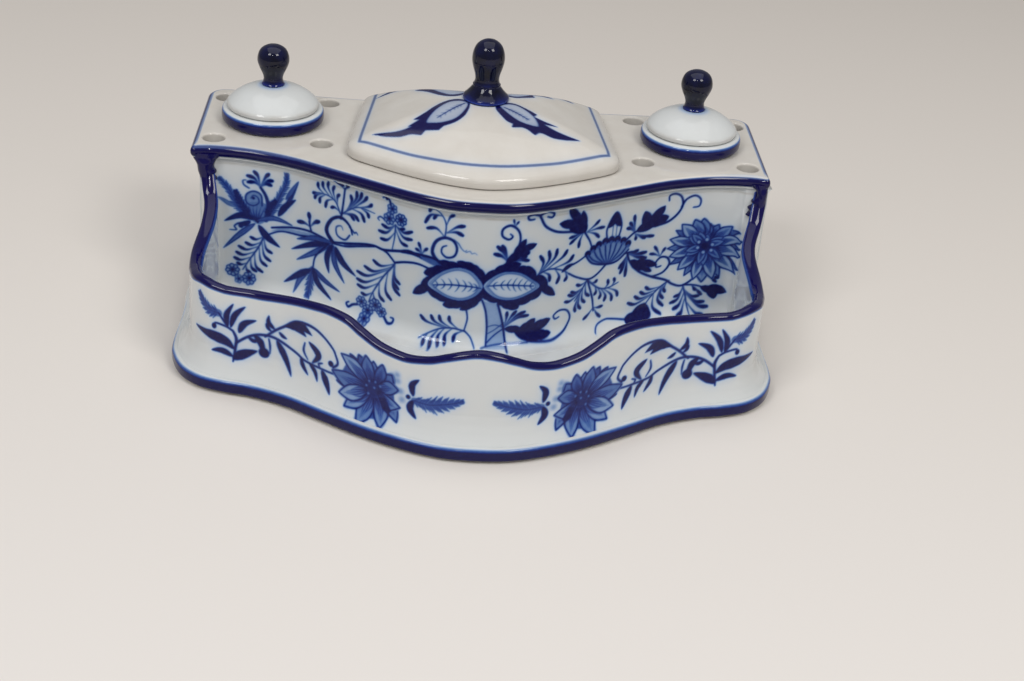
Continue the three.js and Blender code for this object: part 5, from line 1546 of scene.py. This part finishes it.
# Slab: flat faces above and below, joined by a half round along the outline and by a wall with
# rounded lips in each opening
def deckSlab():
    top, low, lip = stand["deckTop"], stand["deckUnder"], deckFinish["lip"]
    half, spacing, mouthSpacing = (top - low) / 2, deckFinish["spacing"], deckFinish["mouthSpacing"]
    holes = deckHoles()
    loops = [ringRound(deckPath, half, spacing)]
    loops += [circle(centre, radius + lip, count) for centre, radius, count in holes]
    loops.append(ringRound(hatchPath, hatch["ledge"] - lip, mouthSpacing))
    loose = np.concatenate([
        circle(centre, radius + lip + extra, count // 2, extra)
        for centre, radius, count in holes for extra in deckFinish["holeRings"]
    ] + [ringRound(hatchPath, hatch["ledge"] - lip - extra, 1.6) for extra in deckFinish["mouthRings"]])
    keep = insideLoop(ringRound(deckPath, half + 0.6, spacing), *loose.T)
    for centre, radius, _ in holes:
        keep &= np.hypot(*(loose - centre).T) > radius + lip + 0.5
    flat, faces, topRows = flatFace(loops, loose[keep])

    # Rows of each wall: how far it has moved in or out from its loop, and its height
    turn = np.linspace(0, halfTurn, 23)[1:-1]
    edge = [(half * (1 - math.sin(a)), low + half + half * math.cos(a)) for a in turn]
    turn = np.linspace(0, halfTurn / 2, 6)[1:]
    dips = [(lip * math.sin(a), top - lip * (1 - math.cos(a))) for a in turn]
    dips += [(lip * math.sin(a), low + lip * (1 - math.cos(a))) for a in turn[::-1]]
    walls = [[(ringRound(deckPath, inset, spacing), z) for inset, z in edge]]
    for loop, (centre, radius, _) in zip(loops[1:], holes):
        outer = radius + lip
        walls.append([(centre + (loop - centre) * (outer - dip) / outer, z) for dip, z in dips])
    walls.append([(ringRound(hatchPath, hatch["ledge"] - lip + dip, mouthSpacing), z) for dip, z in dips])

    points, quads, total = [atHeight(flat, top), atHeight(flat, low)], [], 2 * len(flat)
    for i, (loop, topRow, rows) in enumerate(zip(loops, topRows, walls)):
        points += [atHeight(ring, z) for ring, z in rows]
        between = total + np.arange(len(rows) * len(loop)).reshape(len(rows), -1)
        total += between.size
        indices = [topRow, *between, topRow + len(flat)]
        # Every wall winds the same way as the top face beside it
        turned = 1 if (loopArea(loop) > 0) == (i == 0) else -1
        for a, b in zip(indices[:-1], indices[1:]):
            quads.append(np.stack([a, b, np.roll(b, -1), np.roll(a, -1)], 1)[:, ::turned])
    points = np.concatenate(points)
    x, y, z = points.T
    edgeRows = slice(2 * len(flat), 2 * len(flat) + len(edge) * len(loops[0]))
    cobalt, grimeAndShade = np.zeros(len(points)), np.full(len(points), deckFinish["grimeAndShade"])
    cobalt[edgeRows] = deckEdgeTone(x[edgeRows], y[edgeRows], z[edgeRows])
    for centre, radius, _ in holes:
        away = np.clip(np.hypot(x - centre[0], y - centre[1]) - radius, 0, None)
        most = deckFinish["penGrime"] if radius == deck["penRadius"] else deckFinish["boreGrime"]
        grimeAndShade = np.maximum(grimeAndShade, most * np.exp(-away / deckFinish["grimeReach"]))
    grimeAndShade *= z > low + 0.2
    triangles = np.concatenate([faces, faces[:, ::-1] + len(flat)])
    values = {"cobalt": cobalt, "grimeAndShade": grimeAndShade}
    return makeMesh("deckSlab", points, np.concatenate(quads), triangles, values, warmLitPorcelain)


settle(deckSlab(), "stand", "body_glaze", "deck")
print("deck made")


# Ink pots, round lids and knobs

pot = {
    "radius": 16.5, "depth": 38.0, "wall": 3.0, "flange": 21.2, "flangeHeight": 6.3,
    "lidRadius": 19.0, "lidRise": 8.2, "lidRim": 1.4, "lidWall": 2.6, "spigotDrop": 3.4, "spigotPlay": 0.5,
    "knobRadius": 6.55, "knobHeight": 16.4, "knobFlare": 0.5,
    "domePower": 0.8,
    "bandFrom": 18.4,        # the flange's blue band lies outside this radius
    "sides": 200,
}
# Shares of the neck's radius and of the height
knobShares = [
    (1, 0), (0.96, 0.06), (0.95, 0.16), (1.08, 0.27), (1.36, 0.42), (1.56, 0.58), (1.5, 0.74), (1.22, 0.88),
    (0.66, 0.97),
]
acornShares = [
    (1, 0), (0.98, 0.1), (1.06, 0.22), (1.24, 0.38), (1.34, 0.54), (1.27, 0.71), (1.02, 0.86), (0.56, 0.96),
]
bellShares = [(1, 0), (0.98, 0.14), (0.86, 0.34), (0.72, 0.6), (0.6, 0.86), (0.56, 1)]
lidSeat = stand["deckTop"] + pot["flangeHeight"] + stand["seatGap"]
lidCrown = lidSeat + pot["lidRim"] + pot["lidRise"]


# Cup with a banded flange; a shelf inside holds the lid's ring
def inkPot(name, centre):
    under, top = stand["deckTop"] + stand["seatGap"], stand["deckTop"] + pot["flangeHeight"]
    bottom, bore = stand["deckTop"] - pot["depth"], pot["radius"] - pot["wall"]
    lip = pot["lidRadius"] - pot["wall"] + pot["spigotPlay"]
    seat = top - pot["spigotDrop"] - 1.5
    corners = [
        (0, bottom), (pot["radius"], bottom, 3.0), (pot["radius"], under, 0.5), (pot["flange"], under, 2.4),
        (pot["flange"], top, 2.9), (lip, top, 0.5), (lip, seat), (bore, seat), (bore, bottom + 3, 2.5),
        (0, bottom + 3),
    ]
    profile = subdivided(roundedProfile(corners, 14), 0.4)
    r, z = profile.T
    fade = 1 - 0.4 * ease(z, top - 2.0, top - 1.1) - 0.6 * ease(z, top - 1.1, top - 0.4)
    band = ease(z, under + 0.15, under + 0.5) * fade
    cobalt = np.where((r > pot["bandFrom"]) & (z > under - 0.1), band, 0)
    # Ink has stained the inside
    grimeAndShade = np.where((r < lip + 0.1) & (z > bottom + 2), 0.55, 0.1)
    return turnedPiece(name, profile, centre, coolLitPorcelain, pot["sides"], {"cobalt": cobalt, "grimeAndShade": grimeAndShade})


# Round lid: dome height falls as (1 - r^2) ^ domePower to a small rolled rim; ring underneath
def roundLid(name, centre):
    seat, radius = lidSeat, pot["lidRadius"]
    rimTop = seat + pot["lidRim"]
    spigot = radius - pot["wall"]
    hollow = spigot - pot["lidWall"]

    def dome(r):
        return rimTop + pot["lidRise"] * (1 - (r / radius) ** 2) ** pot["domePower"]

    rIn = np.linspace(0, hollow, 24)
    rOut = radius * np.sin(np.linspace(1.46, 0, 70))
    inner = np.stack([rIn, dome(rIn) - pot["lidWall"]], 1)
    ring = roundedProfile([
        inner[-1], (hollow, seat - pot["spigotDrop"], 0.6), (spigot, seat - pot["spigotDrop"], 0.6),
        (spigot, seat, 0.3), (radius - 0.1, seat, 0.5), (radius, rimTop - 0.2, 0.7), (rOut[0], dome(rOut[0])),
    ])
    profile = np.concatenate([inner, ring[1:-1], np.stack([rOut, dome(rOut)], 1)])
    profile[-1, 0] = 0
    r, z = profile.T
    # Cobalt halo round the knob's foot; darker at the rim's edge
    halo = 0.26 * np.exp(-((r - 4.6) / 1.6) ** 2) * (z > lidCrown - 2)
    darkening = 0.3 * ease(r, radius - 1.0, radius - 0.1) + 0.08
    return turnedPiece(name, profile, centre, coolLitPorcelain, pot["sides"], {"cobalt": halo, "grimeAndShade": darkening})


# Turned grip: shares of neck radius and height, smoothed, closed over the top.
# Blue shows where the glaze runs thin at the foot and over the crown.
def grip(name, shares, neck, base, height, centre, flare=0.0, sink=0.5, thinFoot=0.5):
    line = smoothCurve(shares + [(0, 1)], 90)
    line[:, 0] = np.clip(line[:, 0], 0, None)
    r, z = line[:, 0] * neck, base + line[:, 1] * height
    r = r + flare * np.exp(-(z - base) / 0.9)
    r[-1] = 0
    profile = np.concatenate([[(0, base - sink), (r[0], base - sink)], np.stack([r, z], 1)])
    thin = thinFoot * np.exp(-(z - base) / 1.2) + 0.12 * ease(z, base + height * 0.7, base + height)
    return turnedPiece(name, profile, centre, solidCobalt, values={"thin": np.concatenate([[0, 0], thin])})


knobNeck = pot["knobRadius"] / max(share for share, _ in knobShares)
for side, hand in ((-1, "Left"), (1, "Right")):
    centre = (side * deck["potX"], deck["potY"])
    end = hand.lower()
    settle(inkPot("inkPot" + hand, centre), "pot_" + end, "body_glaze", "ink_pot_" + end)
    settle(roundLid("potLid" + hand, centre), "lid_" + end, "body_glaze", "pot_lid_" + end)
    height = pot["knobHeight"] + 0.2
    knob = grip("lidKnob" + hand, knobShares, knobNeck, lidCrown + 0.1, height, centre, pot["knobFlare"])
    settle(knob, "lid_" + end, "cobalt_glaze", "lid_knob_" + end)
print("pots made")


# Large lid

# Each great leaf of the large lid: curved edges between its points and notches, then the pale
# eye, then the vein from its root
lidLeaves = [
    (
        [[(-6.6, 38.6), (-9.6, 42.8), (-13.8, 43.6), (-18.8, 40.4), (-24.6, 33.0), (-29.2, 29.0)],
         [(-26.6, 28.6), (-31.2, 25.0)],
         [(-29.4, 24.9), (-33.4, 23.2), (-38.6, 22.9), (-45.8, 24.0)],
         [(-40.6, 21.2), (-34.2, 19.7), (-29.8, 20.3), (-25.8, 19.0)],
         [(-24.2, 21.6), (-18.9, 20.9)],
         [(-17.0, 23.2), (-12.4, 25.2), (-8.8, 29.2), (-7.0, 34.6), (-6.6, 38.6)]],
        [(-23.9, 26.3), (-23.0, 29.8), (-19.8, 35.6), (-15.2, 41.0), (-11.2, 41.6), (-7.8, 39.6),
         (-7.7, 36.0), (-10.2, 30.2), (-13.2, 27.0), (-17.6, 25.5), (-21.6, 25.6)],
        [(-8.6, 39.0), (-12.8, 35.4), (-19.6, 28.8)],
    ),
    (
        [[(4.0, 37.6), (8.0, 41.4), (12.2, 41.8), (16.4, 39.0), (20.8, 35.4)],
         [(19.6, 33.4), (24.0, 31.2), (29.8, 29.4)],
         [(23.4, 29.5), (27.2, 27.2), (32.4, 25.4), (38.6, 24.4)],
         [(32.4, 22.6), (27.2, 22.0), (22.2, 23.5), (19.8, 21.3)],
         [(17.0, 23.8), (14.4, 24.6), (10.4, 23.4)],
         [(11.0, 26.0), (8.6, 27.0), (6.2, 30.6), (4.2, 34.6), (4.0, 37.6)]],
        [(5.8, 38.2), (9.2, 40.4), (12.8, 40.2), (17.0, 36.6), (20.0, 32.4), (21.4, 27.6), (19.0, 26.9),
         (14.2, 28.0), (10.6, 30.8), (7.4, 34.8)],
        [(7.4, 37.2), (12.0, 34.4), (17.4, 30.4)],
    ),
]
# The line round the dome: front corner, front quarter, front middle, rear corner
lidLine = {
    "corner": (50.3, 21.4), "quarter": (25.7, 7.4), "middle": (0, 0.8), "rear": (45.6, 74.6),
    "width": 1.25, "tone": 0.47,
}


# Painting seen from above, in mm. The two great leaves in front of the finial are seen in the
# photo; behind it only tips show, and the same leaves are turned over there.
def paintLid():
    canvas = newCanvas(-62, 62, -8, 84)
    middle = np.array([0, hatch["finialY"]])
    for turnOver in ([1, -1], [1, 1]):
        for edges, eye, vein in lidLeaves:
            outline = np.concatenate([smoothCurve(edge, 14) for edge in edges])
            outline, eye, vein = (middle + (np.array(p) - middle) * turnOver for p in (outline, eye, vein))
            fill(canvas, outline, 0.96)
            fill(canvas, eye, 0.13, True, lift=True)
            brush(canvas, np.concatenate([eye, eye[:1]]), 0.3, 0.4)
            line = smoothCurve(vein, 9)
            brush(canvas, vein, [0.45, 0.5, 0.3], 0.95)
            for k in range(2, 8):
                ahead = (line[k] - line[k - 1]) / np.linalg.norm(line[k] - line[k - 1])
                aside = np.array([-ahead[1], ahead[0]])
                for up in (-1, 1):
                    brush(canvas, [line[k], line[k] + ahead * 1.2 + aside * up * 1.5], [0.35, 0.15],
                        [0.85, 0.5])
    corner, quarter, rear = (np.array(lidLine[key], float) for key in ("corner", "quarter", "rear"))
    flip = np.array([-1, 1])
    front = [corner * flip, quarter * flip, np.array(lidLine["middle"]), quarter, corner]
    for side in (front, [corner, rear], [corner * flip, rear * flip], [rear * flip, rear]):
        brush(canvas, side, lidLine["width"], lidLine["tone"])
    return fired(canvas)


hatchSeat = stand["deckTop"] + stand["seatGap"]


# Lid shell: rings between the outline and the middle. Over the dome a ring is the shoulder's
# ring drawn in by a share p, at a height that falls as 1 - p ^ power.
def hatchShell():
    shoulderZ = hatchSeat + hatch["rim"]
    middle = np.array([0, hatch["finialY"]])

    def domeRing(outer, p, drop=0.0):
        z = shoulderZ + hatch["rise"] * (1 - p ** hatch["power"]) - drop
        return atHeight(middle + (outer - middle) * p, z)

    shoulder = ringRound(hatchPath, hatch["shoulder"], hatch["spacing"])
    shares = np.concatenate([np.linspace(0.02, 0.9, 84), np.linspace(0.91, 1, 22)])
    bend = smoothCurve(hatch["shoulderCurve"], 44)
    bend = bend[bend[:, 0] < hatch["shoulder"] - 0.05]
    (ringOut, ringIn), foot = hatch["ring"], hatchSeat - hatch["ringDrop"]
    corners = [
        hatch["shoulderCurve"][-1], (0, hatchSeat, 0.9), (ringOut, hatchSeat, 0.5), (ringOut, foot, 0.8),
        (ringIn, foot, 0.8), (ringIn, hatch["vaultFoot"]),
    ]
    side = subdivided(roundedProfile(corners, 7), 0.9)
    rings = [domeRing(shoulder, p) for p in shares]
    for d, z in np.concatenate([bend, side[1:]]):
        rings.append(atHeight(ringRound(hatchPath, max(d, 0), hatch["spacing"]), z))
    vault = ringRound(hatchPath, ringIn, hatch["spacing"])
    rings += [domeRing(vault, p, hatch["wall"]) for p in hatch["vaultShares"]]
    grid = np.stack(rings)
    outer = (np.arange(len(rings)) < len(shares) + len(bend))[:, None]
    x, y = grid[..., 0], grid[..., 1]
    # Cobalt has run a little on to the dome round the finial's foot
    halo = 0.5 * np.exp(-np.clip(np.hypot(x, y - hatch["finialY"]) - 9.0, 0, None) / 0.5)
    tone = np.maximum(toneAt(paintLid(), x, y) * outer, halo * outer)
    # Darker all over, and more towards the back
    darkening = 0.14 + 0 * x + 0.12 * ease(y, 40, 75)
    return gridPiece("hatchLid", grid, warmLitPorcelain, {"cobalt": tone, "grimeAndShade": darkening})


settle(hatchShell(), "hatch", "body_glaze", "hatch_lid")
# Widest radius, foot above the dome, height, then the flare, sink and thinFoot of grip
finial = {
    "bell": (9.4, 0.1, 5.9, 0.1, 0.8, 0.7),
    "acorn": (6.7, 6.3, 18.7, 0.4, 0.6, 0.2),
}
finialSeat = hatchSeat + hatch["rim"] + hatch["rise"]
for name, shares in (("bell", bellShares), ("acorn", acornShares)):
    radius, lift, height, *rest = finial[name]
    neck = radius / max(share for share, _ in shares)
    centre = (0, hatch["finialY"])
    part = grip("finial" + name.title(), shares, neck, finialSeat + lift, height, centre, *rest)
    settle(part, "hatch", "cobalt_glaze", "finial_" + name)
print("large lid made")


# Floor, light and camera

# Pale woven table cover, seen plain: a matt warm grey, with painted shade that darkens it a little towards
# the back
def tableCover():
    material, tree, place = newMaterial("tableCover")
    split = addNode(tree, "ShaderNodeSeparateXYZ", {"Vector": place})
    inputs = {"Value": split.outputs["Y"], "From Min": -0.25, "From Max": 0.75}
    depth = addNode(tree, "ShaderNodeMapRange", inputs)
    # Painted shade: the grey darkens from the front to the back
    stops = [(0.0, "#dfdad6"), (0.35, "#dad4ce"), (1.0, "#cfc8c1")]
    finishSurface(tree, (cloud(tree, place, 1.1, 2.0), 0.08, 0.2), {
        "Base Color": colourRamp(tree, depth.outputs["Result"], stops),
        "Roughness": 0.95,
        "Specular IOR Level": 0.2,
    })
    return material


room = {
    "floorHalf": 3.0,
    "world": 0.3,
    "worldTint": "#f4f3f2",
    "camera": (-0.02673, -0.63346, 0.34877),
    "cameraTurn": (61.34, -4.19, -1.57),
    "lens": 61.59,
    "sensor": 36,
    "clip": 0.01,
    "lampTarget": (0, 0, 0.05),
    # Name, place, size, power and colour
    "lamps": [
        ("ceilingLamp", (0, 0.1, 1.6), (1.8, 1.8), 10.0, "#ffffff"),
        ("leftLamp", (-0.7, -0.9, 1.2), (0.5, 0.5), 7.6, "#ffffff"),
        ("rightLamp", (0.7, -0.9, 1.2), (0.5, 0.5), 8.4, "#fdfbf6"),
        ("sparkLamp", (-0.12, -1.1, 0.95), (0.06, 0.03), 1.1, "#ffffff"),
    ],
}
h = room["floorHalf"]
floorMesh = bpy.data.meshes.new("floor")
floorMesh.from_pydata([(-h, -h, 0), (h, -h, 0), (h, h, 0), (-h, h, 0)], [], [(0, 1, 2, 3)])
floorMesh.materials.append(tableCover())
floorPiece = bpy.data.objects.new("floor", floorMesh)
bpy.context.scene.collection.objects.link(floorPiece)

world = bpy.data.worlds.new("studio")
world.use_nodes = True
world.node_tree.nodes["Background"].inputs["Color"].default_value = toLinear(room["worldTint"])
world.node_tree.nodes["Background"].inputs["Strength"].default_value = room["world"]
bpy.context.scene.world = world


# Area lamps, each turned towards the target
for name, position, size, power, colour in room["lamps"]:
    lamp = bpy.data.lights.new(name, "AREA")
    lamp.shape = "RECTANGLE"
    lamp.size, lamp.size_y = size
    lamp.energy = power
    lamp.color = toLinear(colour)[:3]
    holder = bpy.data.objects.new(name, lamp)
    holder.location = position
    aim = Vector(room["lampTarget"]) - Vector(position)
    holder.rotation_euler = aim.to_track_quat("-Z", "Y").to_euler()
    bpy.context.scene.collection.objects.link(holder)

lens = bpy.data.cameras.new("camera")
lens.lens = room["lens"]
lens.sensor_width = room["sensor"]
lens.clip_start = room["clip"]
view = bpy.data.objects.new("camera", lens)
view.location = room["camera"]
view.rotation_euler = [math.radians(a) for a in room["cameraTurn"]]
bpy.context.scene.collection.objects.link(view)
bpy.context.scene.camera = view
bpy.context.scene.view_settings.view_transform = "Standard"
print("stage made")
